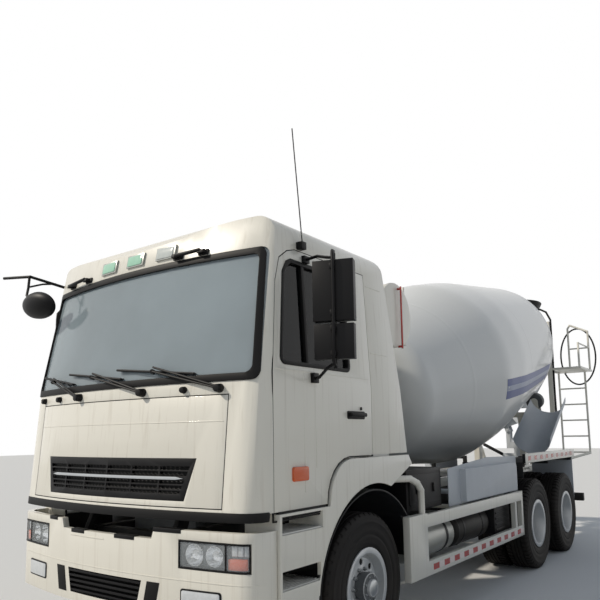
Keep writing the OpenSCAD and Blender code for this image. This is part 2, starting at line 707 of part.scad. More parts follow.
module chute_cylinder() on_axle() color(colour_black) on_cylinder() difference() {
    union() {
        cylinder(h = 440, r = 28);
        rod_y(22, 40);
    }
    translate([0, 0, 50]) cylinder(h = 500, r = 15 + pin_gap);
    rod_y(8 + pin_gap, 100);
}

module chute_rod() on_axle() color(colour_steel) on_cylinder() union() {
    translate([0, 0, 230]) cylinder(h = cyl_len - 245, r = 15);
    translate([0, 0, cyl_len]) difference() {
        rod_y(27, 60);
        rod_y(12 + eye_play, 100);
    }
}

// Side outline of the cab as (Y, Z) points: sloped back wall and the cut over the wheel
module cab_side(inset = 0) {
    back_top = cab_back - (cab_roof - cab_floor - 300) * tan(9.5);
    corner = 150;
    arch_start = 180 - asin((inset - 5) / (300 + inset));
    polygon(concat(
        [[-1700, cab_floor + inset]],
        arc(-315, cab_floor + 5, 300 + inset, arch_start, 92, 6),
        [[cab_back - inset, cab_floor + 305 + inset]],
        arc(back_top - corner + 30, cab_roof - corner, corner - inset, 8, 90, 6),
        arc(-1110, cab_roof - 110, 110 - inset, 90, 150, 4),
        [[-1700, cab_roof - 500]]));
}

// Front outline of the cab as (X, Z) points: upright flanks that lean in above the belt
module cab_front(inset = 0) {
    top_half = half_width - 85;
    corner = 130;
    polygon(concat(
        [[-half_width - 20 + inset, cab_floor - 10], [half_width + 20 - inset, cab_floor - 10],
         [half_width + 20 - inset, belt_z - 400], [half_width - 16 - inset, belt_z - 100]],
        arc(top_half - corner + 12, cab_roof - corner, corner - inset, 5, 88, 6),
        arc(-top_half + corner - 12, cab_roof - corner, corner - inset, 92, 175, 6),
        [[-half_width + 16 + inset, belt_z - 100], [-half_width - 20 + inset, belt_z - 400]]));
}

// Bowed front of the cab, leaning back by the rake, over a height above or below the belt line
module cab_rake(rake, inset, low, high) intersection() {
    translate([0, -belt_front, belt_z]) rotate([-rake, 0, 0])
        translate([0, belt_front, -1300]) linear_extrude(2700)
            front_plan(belt_front, 1600, half_width - 20, inset, rake);
    translate([0, 0, belt_z + low]) linear_extrude(high - low) square(5000, center = true);
}

module lower_front(inset) cab_rake(5, inset, -1000, 0);

module upper_front(inset) cab_rake(11, inset, 0, 1200);

module cab_solid() intersection() {
    along_x(3000) cab_side();
    along_y(5000) cab_front();
    union() {
        lower_front(0);
        upper_front(0);
    }
}

// Room inside the cab walls, behind a thicker lower front
module cab_room() intersection() {
    along_x(3000) cab_side(cab_wall);
    along_y(5000) cab_front(cab_wall);
    union() {
        translate([0, front_wall, 0]) cab_rake(5, cab_wall, -1000, 3);
        upper_front(cab_wall);
    }
}

// Door outline as (Y, Z) points
module door_outline(grow = 0) {
    polygon(concat(
        [[-1178 - grow, cab_floor - 50 - grow], [-615 + grow, cab_floor - 50 - grow]],
        arc(-315, cab_floor + 5, 300 - grow, 178, 92, 6),
        [[grow, cab_floor + 300 - grow], [grow, 2895 + grow]],
        [[-880, 2895 + grow], [-965 - grow, 2868 + grow], [-1053 - grow, 2805 + grow],
         [-1108 - grow, 2640 + grow], [-1178 - grow, 2050]]));
}

module door_window(grow = 0) polygon(concat(
    arc(-1055, 2155, 45 + grow, 180, 270, 4), arc(-330, 2155, 45 + grow, 270, 360, 4),
    arc(-330, 2775, 45 + grow, 0, 90, 4),
    [[-936, 2820 + grow], [-985 - grow, 2795 + grow], [-1032 - grow, 2720 + grow]]));

// Windscreen outline as (X, Z) points
module windscreen_outline(grow = 0) {
    low = half_width - 115;
    high = half_width - 140;
    polygon(concat(
        arc(low, 2055, 55 + grow, -90, 0, 4), arc(high, 2820, 55 + grow, 0, 90, 4),
        arc(-high, 2820, 55 + grow, 90, 180, 4), arc(-low, 2055, 55 + grow, 180, 270, 4)));
}

module lid_outline(grow = 0) {
    half = half_width - 250 + grow;
    polygon([[-half, 1235 - grow], [half, 1235 - grow], [half, 1915 + grow], [-half, 1915 + grow]]);
}

// Body inside the door panels, which end this far from the flank
module between_doors(inset) intersection() {
    along_y(5000) cab_front(inset);
    box(-half_width + 20 + inset, half_width - 20 - inset, -2500, 2500, 0, 4000);
}

// Hollow cab with openings for doors and windscreen, and a recess in its front wall for the lid
module cab_shell() on_axle() color(colour_side) union() {
    difference() {
        cab_solid();
        cab_room();
        difference() {
            for (side = [-1, 1]) translate([side * door_x, 0, 0]) along_x(200) door_outline(seam);
            between_doors(cab_wall + seam);
        }
        translate([0, -1300, 0]) along_y(500) windscreen_outline();
        difference() {
            translate([0, -1300, 0]) along_y(500) lid_outline(seam);
            lower_front(lid_depth + seam);
        }
    }
    both_sides() {
        difference() {
            translate([frame_half + 28, pivot_y, pivot_z]) along_x(40)
                polygon([[-40, -45], [40, -45], [190, 325], [100, 325], [-40, 30]]);
            translate([frame_half + 27, pivot_y, pivot_z]) rod_x(pivot_r + pin_gap, 100);
        }
        for (z = [1400, 2000]) box(hinge_x - 25, hinge_x - 5, -1190, -1178 - seat_gap, z - 40, z + 40);
        intersection() {
            difference() {
                lower_front(lid_depth + seat_gap);
                lower_front(lid_depth + 20);
            }
            for (z = [1260, 1860]) translate([620, -1300, 0]) along_y(500) translate([0, z]) square([100, 40]);
        }
    }
}

module grille_outline(grow = 0) polygon([[-790 - grow, 1530 + grow], [790 + grow, 1530 + grow],
    [715 + grow, 1270 - grow], [-715 - grow, 1270 - grow]]);

// Grille lid on the front of the cab with its slatted opening
module front_lid() on_axle() color(colour_white) difference() {
    intersection() {
        lower_front(0);
        translate([0, -1300, 0]) along_y(500) difference() {
            lid_outline();
            grille_outline();
        }
    }
    lower_front(lid_depth);
}

// Black grille set in the lid: outer frame, a middle bar, thin slats and uprights
module grille() on_axle() color("#202122") intersection() {
    difference() {
        lower_front(1);
        lower_front(lid_depth - 2);
    }
    translate([0, -1300, 0]) along_y(500) union() {
        difference() {
            grille_outline(-seat_gap);
            grille_outline(-42);
        }
        intersection() {
            grille_outline(-40);
            union() {
                translate([-850, 1394]) square([1700, 26]);
                for (z = [1330 : 32 : 1362]) translate([-850, z]) square([1700, 9]);
                for (z = [1448 : 32 : 1480]) translate([-850, z]) square([1700, 9]);
                for (x = [-500 : 250 : 500]) translate([x - 7, 1200]) square([14, 400]);
            }
        }
    }
}

// Door panel with its window cut out, side 1 is the left one
module door(side) on_axle() color(colour_side) difference() {
    intersection() {
        cab_solid();
        translate([side * door_x, 0, 0]) along_x(200) difference() {
            door_outline();
            door_window();
        }
    }
    between_doors(cab_wall);
}

module door_glass(side) on_axle() color(colour_glass) intersection() {
    difference() {
        between_doors(20);
        between_doors(26);
    }
    translate([side * door_x, 0, 0]) along_x(200) door_window(-seat_gap);
}

module windscreen() on_axle() color(colour_glass) intersection() {
    difference() {
        upper_front(14);
        upper_front(22);
    }
    translate([0, -1300, 0]) along_y(500) windscreen_outline(-seat_gap);
}

// Dashboard, steering wheel with its column, and the bunk
module cab_interior() on_axle() color("#77746c") {
    union() {
        intersection() {
            translate([0, front_wall + seat_gap, 0]) lower_front(cab_wall);
            box(-half_width + 80, half_width - 80, -1700, -880, 1720, belt_z - 10);
        }
        strut([560, -900, 1960], [560, -720, 2060], 30);
        translate([560, -700, 2070]) rotate([61, 0, 0]) {
            rotate_extrude() translate([220, 0]) circle(r = 15);
            rod_x(14, 430);
            rod_y(14, 430);
            cylinder(h = 30, r = 60, center = true);
        }
    }
    box(-1050, 1050, 60, 400, cab_floor + 355 + seat_gap, 1900);
}

// Driver and passenger seats
module seats() on_axle() color("#4b4a47") for (x = [-560, 560]) union() {
    box(x - 230, x + 230, -420, 20, 1590, 1760);
    box(x - 230, x + 230, -100, 20, 1740, 2360);
    box(x - 130, x + 130, -90, 0, 2350, 2560);
    box(x - 150, x + 150, -300, -20, cab_floor + 355 + seat_gap, 1600);
}

// Roof lamps, aerial, grab handles and the kerb mirror arm at the right corner
module roof_fittings() on_axle() color(colour_black) {
    intersection() {
        difference() {
            upper_front(-16);
            upper_front(-seat_gap);
        }
        for (x = [-330, -10, 310]) translate([x, -1300, 0]) along_y(500)
            translate([-92, 2905]) square([184, 96]);
    }
    union() {
        difference() {
            box(half_width - 90, half_width - 20, -860, -810, 2905, 2955);
            translate([seat_gap, 0, seat_gap]) cab_solid();
        }
        strut([half_width - 35, -835, 2935], [half_width - 35, -935, 3725], 4);
    }
    pipe([[-half_width + 74, -1090, 2960], [-1300, -1330, 3030], [-1560, -1420, 3040]], 12);
    strut([-1300, -1330, 3030], [-1300, -1345, 2860], 10);
    translate([-1300, -1360, 2790]) rod_y(105, 50);
}

// Exterior mirror: bent arms from the door, a tall housing and a wide-angle one below it
module mirror_arm(side) {
    centre = [half_width + 245, -885];
    flank = half_width - 20;
    mirror([side < 0 ? 1 : 0, 0, 0]) difference() {
        union() {
            translate([centre[0], centre[1], 0]) rotate([0, 0, 20]) {
                box(-132, 132, -38, 38, 2372, 2762);
                box(-128, 128, -32, 32, 2130, 2352);
                translate([0, 0, 2070]) cylinder(h = 745, r = 13);
            }
            pipe([[flank - 30, -775, 2848], [half_width + 60, -800, 2848], [half_width + 165, -850, 2810],
                [centre[0], centre[1], 2786]], 10);
            pipe([[flank + 12, -755, 2035], [half_width + 60, -800, 2035], [half_width + 165, -860, 2082],
                [centre[0], centre[1], 2108]], 10);
            box(flank - 10, flank + 26, -785, -725, 2005, 2070);
            box(flank - 60, flank - 22, -805, -745, 2825, 2872);
        }
        translate([seat_gap, 0, 0]) cab_solid();
    }
}

module mirror_left() on_axle() color(colour_black) mirror_arm(1);

module mirror_right() on_axle() color(colour_black) mirror_arm(-1);

// Steering knuckle: yoke round the axle boss, spindle and steering arm
module knuckle(side) on_axle() color(colour_frame) translate([side * kingpin_x, 0, tyre_r])
    mirror([side < 0 ? 1 : 0, 0, 0]) difference() {
        union() {
            for (z = [60 + pin_gap, -110]) translate([0, 0, z]) cylinder(h = 50 - pin_gap, r = 55);
            for (z = [60 + pin_gap, -110]) box(0, 90, -40, 40, z, z + 50 - pin_gap);
            box(64, 92, -70, 70, -110, 110);
            translate([90, 0, 0]) rotate([0, 90, 0]) cylinder(h = 190, r = spindle_r);
            box(-20, 20, 0, 225, -105, -75);
        }
        translate([0, 0, -200]) cylinder(h = 400, r = kingpin_r + pin_gap);
        translate([0, 200, -200]) cylinder(h = 200, r = 12 + pin_gap);
    }

// Tie rod between the two steering arms
module tie_rod() on_axle() color(colour_frame) union() {
    translate([0, 200, tyre_r - 135]) rod_x(18, 2 * kingpin_x);
    both_sides() translate([kingpin_x, 200, tyre_r - 155]) {
        cylinder(h = 40, r = 26);
        cylinder(h = 75, r = 12);
    }
}

// Tyre about the local z axis, centred on its middle plane
module tyre() rotate_extrude($fn = 96) {
    h = tyre_w / 2;
    b = h - 18;
    // Half section of the tyre: radius, distance from the middle plane
    side = [[rim_r + seat_gap, b - 1], [rim_r + 32, b - 1], [rim_r + 45, b + 6], [rim_r + 105, h - 2],
        [rim_r + 165, h], [tyre_r - 60, h - 5], [tyre_r - 20, h - 15], [tyre_r, h - 32]];
    polygon(concat(side, [for (i = [len(side) - 1 : -1 : 0]) [side[i][0], -side[i][1]]]));
}

// Rim well with two flanges about the local z axis
module rim_well() rotate_extrude($fn = 96) {
    b = tyre_w / 2 - 18;
    polygon([[rim_r - 12, -b - 11], [rim_r + 30, -b - 11], [rim_r + 30, -b - 1 + seat_gap], [rim_r, -b - 1 + seat_gap],
        [rim_r, b + 1 - seat_gap], [rim_r + 30, b + 1 - seat_gap], [rim_r + 30, b + 11], [rim_r - 12, b + 11]]);
}

module hand_holes(count, at, r) for (i = [0 : count - 1]) rotate([0, 0, 360 / count * i])
    translate([at, 0, -500]) cylinder(h = 1000, r = r, $fn = 32);

// Front wheel disc, hub and brake drum with the outer side towards +z
module front_rim() difference() {
    union() {
        rim_well();
        difference() {
            rotate_extrude($fn = 96) polygon([[100, 70], [200, 70], [rim_r - 8, 40], [rim_r - 8, 54],
                [205, 84], [100, 84]]);
            hand_holes(8, 178, 24);
        }
        translate([0, 0, -80]) cylinder(h = 245, r = 105);
        translate([0, 0, 164]) cylinder(h = 25, r = 62);
        difference() {
            translate([0, 0, -90]) cylinder(h = 165, r = 215);
            translate([0, 0, -91]) cylinder(h = 145, r = 200);
        }
    }
    translate([0, 0, -200]) cylinder(h = 320, r = spindle_r + pin_gap);
}

// Twin rims back to back with hub and brake drum, outer side towards +z
module twin_rims() difference() {
    union() {
        for (end = [-1, 1]) translate([0, 0, end * twin_pitch / 2]) rim_well();
        difference() {
            for (end = [-1, 1]) mirror([0, 0, end < 0 ? 1 : 0]) rotate_extrude($fn = 96)
                polygon([[100, 0], [200, 0], [rim_r - 8, 45], [rim_r - 8, 60], [196, 14], [100, 14]]);
            hand_holes(8, 170, 22);
        }
        translate([0, 0, -200]) cylinder(h = 340, r = 110);
        translate([0, 0, 139]) cylinder(h = 20, r = 80);
        difference() {
            translate([0, 0, -240]) cylinder(h = 245, r = 215);
            translate([0, 0, -241]) cylinder(h = 225, r = 200);
        }
    }
    translate([0, 0, -300]) cylinder(h = 300 + 100 + 10, r = hub_r + pin_gap);
}

module wheel_place(side, x, y) on_axle() translate([side * x, y, tyre_r]) rotate([0, side * 90, 0]) children();

module front_tyre(side) color(colour_black) wheel_place(side, front_track, 0) tyre();

module front_wheel(side) color(colour_silver) wheel_place(side, front_track, 0) front_rim();

module twin_tyres(side, y) color(colour_black) wheel_place(side, rear_track, y)
    for (end = [-1, 1]) translate([0, 0, end * twin_pitch / 2]) tyre();

module twin_wheels(side, y) color(colour_silver) wheel_place(side, rear_track, y) twin_rims();

chassis_frame();
powertrain();
front_axle();
rear_axles();
bumper();
headlamps();
front_fenders();
side_guards();
side_panels();
rear_fenders();
tanks();
equipment_boxes();
subframe();
drum_supports();
drum_gearbox();
water_tank();
feed_hopper();
discharge_hopper();
extension_chute();
rear_ladder();
water_hoses();
rear_lamps();
drum();
roller(1);  // roller_left
roller(-1);  // roller_right
chute_swing();
chute_main();
chute_cylinder();
chute_rod();
cab_shell();
cab_interior();
seats();
windscreen();
roof_fittings();
front_lid();
grille();
door(1);  // door_left
door(-1);  // door_right
door_glass(1);  // glass_left
door_glass(-1);  // glass_right
mirror_left();
mirror_right();
knuckle(1);  // knuckle_left
knuckle(-1);  // knuckle_right
tie_rod();
front_tyre(1);  // tyre_front_left
front_tyre(-1);  // tyre_front_right
front_wheel(1);  // rim_front_left
front_wheel(-1);  // rim_front_right
twin_tyres(1, axle_mid);  // tyres_mid_left
twin_tyres(-1, axle_mid);  // tyres_mid_right
twin_wheels(1, axle_mid);  // rims_mid_left
twin_wheels(-1, axle_mid);  // rims_mid_right
twin_tyres(1, axle_rear);  // tyres_rear_left
twin_tyres(-1, axle_rear);  // tyres_rear_right
twin_wheels(1, axle_rear);  // rims_rear_left
twin_wheels(-1, axle_rear);  // rims_rear_right
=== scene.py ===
"""Looks of a concrete mixer truck: paint, glass, rubber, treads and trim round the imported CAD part."""

import json
import math

import bmesh
import bpy
from bpy.props import FloatProperty, FloatVectorProperty, PointerProperty
from mathutils import Matrix, Vector


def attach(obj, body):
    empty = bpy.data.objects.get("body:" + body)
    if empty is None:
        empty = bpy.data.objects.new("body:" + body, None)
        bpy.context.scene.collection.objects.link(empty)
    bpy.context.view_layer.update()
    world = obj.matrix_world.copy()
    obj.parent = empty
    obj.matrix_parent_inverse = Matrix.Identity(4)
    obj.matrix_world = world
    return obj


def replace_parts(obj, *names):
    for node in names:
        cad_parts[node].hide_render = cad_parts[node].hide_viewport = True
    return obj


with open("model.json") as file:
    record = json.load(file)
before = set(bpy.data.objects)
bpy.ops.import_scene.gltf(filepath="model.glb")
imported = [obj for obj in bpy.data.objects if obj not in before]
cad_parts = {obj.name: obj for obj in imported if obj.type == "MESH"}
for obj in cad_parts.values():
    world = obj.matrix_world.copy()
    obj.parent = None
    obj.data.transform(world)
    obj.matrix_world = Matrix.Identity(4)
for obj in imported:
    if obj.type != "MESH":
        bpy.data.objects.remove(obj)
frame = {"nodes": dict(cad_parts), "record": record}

bl_info = {
    "name": "Concrete mixer truck",
    "version": (1, 0, 0),
    "blender": (4, 5, 0),
    "location": "View3D > Sidebar > Mixer",
    "description": "Builds the looks of a concrete mixer truck round its CAD frame",
    "category": "Object",
}


def linear(code):
    """sRGB hex code as linear red, green and blue."""
    parts = [int(code[i : i + 2], 16) / 255 for i in (1, 3, 5)]
    return tuple(c / 12.92 if c <= 0.04045 else ((c + 0.055) / 1.055) ** 2.4 for c in parts)


def colour(name, description, code):
    return FloatVectorProperty(name=name, description=description, subtype="COLOR", min=0, max=1, default=linear(code))


def size(name, description, default):
    return FloatProperty(name=name, description=description, default=default, unit="LENGTH")


def turn(name, description, degrees):
    return FloatProperty(name=name, description=description, default=math.radians(degrees), unit="ROTATION")


class MixerColours(bpy.types.PropertyGroup):
    """Colours of the truck's finishes, read from the photograph."""

    body: colour("Body", "Cream white paint of cab, drum and guards", "#e0ddd2")
    grey: colour("Grey parts", "Light grey paint of hoppers and chutes", "#b4b9be")
    frame: colour("Frame", "Black paint of frame and axles", "#161719")
    plastic: colour("Plastic", "Black plastic of trim and mirrors", "#0d0d0f")
    tyre: colour("Tyre", "Dark rubber of the tyres", "#0f0f11")
    rim: colour("Rims", "Silver paint of the rims", "#c3c6c8")
    glass: colour("Glass", "Tint of the side windows", "#080b0d")
    seat: colour("Seats", "Woven cloth of the seats", "#4a4b50")
    blue: colour("Blue band", "Sticker along the drum", "#3d4f86")
    red: colour("Red marks", "Red reflectors and tail lamps", "#b02a20")
    amber: colour("Amber lamps", "Turn indicators", "#d4581c")


class MixerSizes(bpy.types.PropertyGroup):
    """Sizes that the looks are worked out from, in metres from the front axle."""

    mid_y: size("Frame origin", "Front axle to the middle of the truck", 3.1375)
    bevel: size("Edge radius", "Rounding of sheet and cast edges", 0.003)
    wheelbase: size("Wheelbase", "Front axle to the first rear axle", 4.025)
    tandem: size("Tandem", "First to second rear axle", 1.35)
    tyre_r: size("Tyre radius", "Radius over the tread", 0.54)
    tyre_w: size("Tyre width", "Width over the sidewalls", 0.295)
    rim_r: size("Rim radius", "Radius of the tyre seat", 0.255)
    front_track: size("Front track", "Middle of the truck to a front wheel", 1.01)
    rear_track: size("Rear track", "Middle of the truck to a rear twin", 0.931)
    twin_pitch: size("Twin pitch", "Middle to middle of two twin tyres", 0.33)
    drum_y: size("Drum start", "Front axle to the drum's reference point", 3.0)
    drum_z: size("Drum height", "Ground to the drum's reference point", 2.334)
    drum_tilt: turn("Drum tilt", "Lean of the drum's axis", 13.2)
    lens: FloatProperty(name="Lens", description="Focal length of the camera in millimetres", default=37.6)
    yaw: turn("Camera turn", "Turn of the camera from the truck's length", 36.49)
    pitch: turn("Camera pitch", "Camera looks up by this angle", 7.13)
    roll: turn("Camera roll", "Lean of the camera", -0.82)
    eye_x: size("Camera left", "Camera to the truck's left of its middle", 3.622)
    eye_y: size("Camera back", "Camera behind the front axle, negative is ahead", -4.148)
    eye_z: size("Camera height", "Camera above the ground", 1.661)
    shift: FloatProperty(name="Shift", description="Upward shift of the picture", default=0.095)


def sizes():
    return bpy.context.scene.mixer_sizes


# Materials


def add(tree, kind, settings=None, values=None, links=None):
    """Shader node with its settings and socket values, fed from other nodes' outputs."""
    node = tree.nodes.new(kind)
    for name, value in (settings or {}).items():
        setattr(node, name, value)
    for socket, value in (values or {}).items():
        node.inputs[socket].default_value = value
    for socket, output in (links or {}).items():
        tree.links.new(output, node.inputs[socket])
    return node


# Rain streaks: their colour, and the noise values from which they show and at which they are full
STREAK = "#8c7a5e"
STREAK_FROM = 0.56
STREAK_FULL = 0.78
# Road dust: its colour, the heights in metres up to which it is full and at which it ends, its spots in mm
DUST = "#a3957c"
DUST_FULL = 0.1
DUST_TOP = 1.3
DUST_SPOT = 120


def per_metre(millimetres):
    return 1000 / millimetres


def new_finish(name, rgb, roughness, values=None, patches=None, streaks=None, dust=0.0, grain=None):
    """Material of one even colour and gloss, and where it has them slow patches of tone, streaks that run
    down, road dust near the ground and a fine grain. Patches are (mm, share), streaks (mm wide, mm long,
    share), and grain (mm, depth in mm)."""
    mat = bpy.data.materials.new(name)
    mat.use_nodes = True
    tree = mat.node_tree
    tree.nodes.clear()
    fixed = {"Base Color": (*rgb, 1), "Roughness": roughness, **(values or {})}
    shader = add(tree, "ShaderNodeBsdfPrincipled", values=fixed)
    add(tree, "ShaderNodeOutputMaterial", links={"Surface": shader.outputs["BSDF"]})
    place = add(tree, "ShaderNodeTexCoord").outputs["Object"]

    def noise(scale, detail, where=place):
        settings = {"Scale": scale, "Detail": detail}
        return add(tree, "ShaderNodeTexNoise", values=settings, links={"Vector": where}).outputs["Fac"]

    def spread(value, limits):
        return add(tree, "ShaderNodeMapRange", values=limits, links={"Value": value}).outputs["Result"]

    def laid(factor, over, under, tone):
        """A colour laid by a factor over the tone mixed so far, or over a plain one."""
        colours, sources = {"B": (*over, 1)}, {"Factor": factor}
        if tone:
            sources["A"] = tone
        else:
            colours["A"] = (*under, 1)
        return add(tree, "ShaderNodeMix", {"data_type": "RGBA"}, colours, sources).outputs["Result"]

    tone = None
    if patches:
        wide, share = patches
        pale = [min(1, c * (1 + share)) for c in rgb]
        deep = [c * (1 - share) for c in rgb]
        tone = laid(noise(per_metre(wide), 5), pale, deep, tone)
    if streaks:
        wide, long, share = streaks
        stretch = {"Scale": (per_metre(wide), per_metre(wide), per_metre(long))}
        drawn = add(tree, "ShaderNodeMapping", values=stretch, links={"Vector": place}).outputs["Vector"]
        run = spread(noise(1, 3, drawn), {"From Min": STREAK_FROM, "From Max": STREAK_FULL, "To Max": share})
        tone = laid(run, linear(STREAK), rgb, tone)
    if dust:
        height = add(tree, "ShaderNodeSeparateXYZ", links={"Vector": place}).outputs["Z"]
        low = spread(height, {"From Min": DUST_FULL, "From Max": DUST_TOP, "To Min": dust, "To Max": 0})
        spots = noise(per_metre(DUST_SPOT), 8)
        share = add(tree, "ShaderNodeMath", {"operation": "MULTIPLY"}, None, {0: low, 1: spots}).outputs["Value"]
        tone = laid(share, linear(DUST), rgb, tone)
    if tone:
        tree.links.new(tone, shader.inputs["Base Color"])
    if grain:
        wide, depth = grain
        relief = {"Strength": 0.6, "Distance": depth / 1000}
        pits = {"Height": noise(per_metre(wide), 2)}
        bump = add(tree, "ShaderNodeBump", values=relief, links=pits)
        tree.links.new(bump.outputs["Normal"], shader.inputs["Normal"])
    return mat


def make_materials(tints):
    """Every finish of the truck by its short name."""
    coat = {"Coat Weight": 0.35, "Coat Roughness": 0.08}
    lens = {"Coat Weight": 0.4}
    dull = {"Specular IOR Level": 0.18}
    shiny = {"Metallic": 1.0}
    new = new_finish
    return {
        # Sprayed polyurethane enamel: even cream with a soft broad gloss and dry rain streaks
        "body": new(
            "sprayed cream enamel", tints.body, 0.34, coat, patches=(900, 0.02), streaks=(30, 800, 0.22), dust=0.1
        ),
        # The cab's cream enamel on the rolled drum shell, painted darker and cooler as painted shade and sky light on
        # its side: wide faint clouds of tone, no streaks
        "drum": new("cream enamel darkened as painted shade", linear("#cccecd"), 0.36, coat, patches=(900, 0.02), dust=0.1),
        # Light grey satin enamel on welded sheet, slightly blotched where concrete was washed off
        "grey": new("satin grey enamel", tints.grey, 0.48, patches=(160, 0.07), dust=0.1),
        # Black chassis enamel, brushed on thick: satin, dusty towards the ground
        "frame": new("black chassis enamel", tints.frame, 0.5, dull, patches=(200, 0.15), dust=0.1),
        # Moulded polypropylene with a leather grain, drawn at 3 mm so that it shows: dull black
        "plastic": new("grained polypropylene", tints.plastic, 0.45, dull, patches=(90, 0.1), grain=(3, 0.15)),
        # Pressed mudguard sheet under stone guard paint: dull dark grey with dust
        "guard": new(
            "stone guard paint", linear("#1b1d1e"), 0.7, dull, patches=(60, 0.12), dust=0.12, grain=(5, 0.3)
        ),
        # Vulcanised tyre rubber: very dark, dull, browned by a little dust
        "tyre": new(
            "vulcanised tyre rubber", tints.tyre, 0.66, dull, patches=(60, 0.15), dust=0.06, grain=(4, 0.2)
        ),
        # Silver wheel enamel over pressed steel: a faint metal flake gloss
        "rim": new("silver wheel enamel", tints.rim, 0.38, {"Metallic": 0.35}, patches=(90, 0.05), dust=0.25),
        # Zinc plated nuts and bolt heads: bright but soft gleam
        "zinc": new("zinc plated steel", linear("#a9acae"), 0.3, shiny),
        # Grey cast iron with its casting skin, drawn at 6 mm: rough and dull
        "cast": new(
            "painted cast iron", linear("#5b5e60"), 0.6, {"Metallic": 0.3}, patches=(80, 0.2), grain=(6, 0.5)
        ),
        # Hard chrome on the ground piston rod and the lamp bowls: a clear mirror
        "chrome": new("hard chrome", linear("#d8dadc"), 0.08, shiny),
        # Aluminium paint on the rolled air and fuel tanks: silvery with a wide soft gleam
        "silver": new(
            "aluminium tank paint", linear("#a8aaa6"), 0.34, {"Metallic": 0.5}, patches=(120, 0.06), dust=0.3
        ),
        # Toughened float glass with a dark tint: nearly black, sharp but weak in its gloss
        "glass": new("tinted float glass", tints.glass, 0.03, {"Alpha": 0.86, "Specular IOR Level": 0.25}),
        # Laminated windscreen under a film of dust; its pale blue grey and its broad clouds of tone are a painted
        # reflection of the sky: half clear
        "screen": new(
            "laminated glass with painted sky reflection", linear("#9eacb3"), 0.06, {"Alpha": 0.62, "Specular IOR Level": 0.8},
            patches=(900, 0.3),
        ),
        # Silvered mirror glass: clean and bright
        "mirror": new("silvered mirror glass", linear("#c6ccd0"), 0.04, shiny),
        # Clear moulded lamp covers of polycarbonate: nearly colourless, glossy
        "lamp": new("clear polycarbonate", linear("#dfe6ea"), 0.06, {"Alpha": 0.16, "Specular IOR Level": 0.6}),
        # Moulded fog lamp glass and the pale backing of the headlamps: pale grey, glossy
        "lamp_body": new("moulded lamp glass", linear("#c9cdd0"), 0.12, {"Coat Weight": 0.5}, patches=(25, 0.15)),
        # Moulded lenses of the roof lamps, two of green glass and one of clear: pale, softly glossy
        "green": new("green moulded lens", linear("#a0d2b8"), 0.15, lens, patches=(30, 0.12)),
        "clear": new("clear moulded lens", linear("#c3c9c6"), 0.15, lens, patches=(30, 0.12)),
        # Woven polyester seat cloth; the 2 mm weave is drawn at 6 mm so that it shows: matt grey
        "seat": new(
            "woven polyester cloth", tints.seat, 0.92, {"Sheen Weight": 0.3}, patches=(6, 0.18), grain=(6, 0.6)
        ),
        # Soft moulded dashboard skin: matt warm grey
        "inside": new("moulded dashboard skin", linear("#6f6c66"), 0.75, patches=(150, 0.05), grain=(4, 0.15)),
        # Smooth extruded rubber of hoses, seals and lips: black with a weak sheen
        "rubber": new("extruded rubber", linear("#0c0c0d"), 0.5, dull, patches=(70, 0.1)),
        # Ribbed red acrylic of the tail lamps and reflectors: glossy under a clear skin
        "red": new("red acrylic", tints.red, 0.22, lens),
        # Amber acrylic of the turn lamps: glossy under a clear skin
        "amber": new("amber acrylic", tints.amber, 0.22, lens),
        # Pale pink retroreflective film between the red blocks: even, half matt
        "pale": new("white reflective film", linear("#e9dcd6"), 0.4),
        # Cast vinyl film along the drum, dark at its edges and paler and weathered between
        "blue": new("dark blue vinyl film", tints.blue, 0.4, patches=(200, 0.06)),
        "blue_pale": new("pale blue vinyl film", linear("#8d97ae"), 0.4, patches=(120, 0.2)),
        # Rolled aluminium tread plate: a bright but scuffed metal gloss
        "aluminium": new("rolled aluminium", linear("#b4b6b6"), 0.35, {"Metallic": 0.8}, dust=0.2),
        # Black in the bumper's side slots, and the same black as painted shade behind the grille mesh, behind the
        # bumper's middle slats and behind the rims' hand holes: dull, dark
        "mesh": new("black steel and painted shade", linear("#0c0d0e"), 0.6, dull),
    }


# Finish of each material slot in the record
SLOT_FINISH = {
    "frame_paint": "frame",
    "white_paint": "body",
    "grey_paint": "grey",
    "black_plastic": "plastic",
    "rubber_tyre": "tyre",
    "wheel_steel": "rim",
    "glass_tint": "glass",
    "lamp_glass": "lamp",
    "cast_metal": "cast",
    "rod_chrome": "chrome",
    "seat_fabric": "seat",
    "inner_plastic": "inside",
    "hose_rubber": "rubber",
    "red_lamp": "red",
    "silver_paint": "silver",
}
# Slot that a piece of each finish usually has
USUAL_SLOT = {finish: slot for slot, finish in SLOT_FINISH.items()} | {
    "drum": "white_paint", "pale": "white_paint", "blue": "white_paint", "blue_pale": "white_paint",
    "aluminium": "grey_paint", "mesh": "black_plastic", "zinc": "wheel_steel", "mirror": "glass_tint",
    "lamp_body": "lamp_glass", "green": "lamp_glass", "clear": "lamp_glass", "amber": "lamp_glass",
}
# Nodes whose finish differs from that of their slot
NODE_FINISH = {
    "rear_fenders": "guard",
    "roof_fittings": "plastic",
    "rear_lamps": "frame",
    "windscreen": "screen",
}
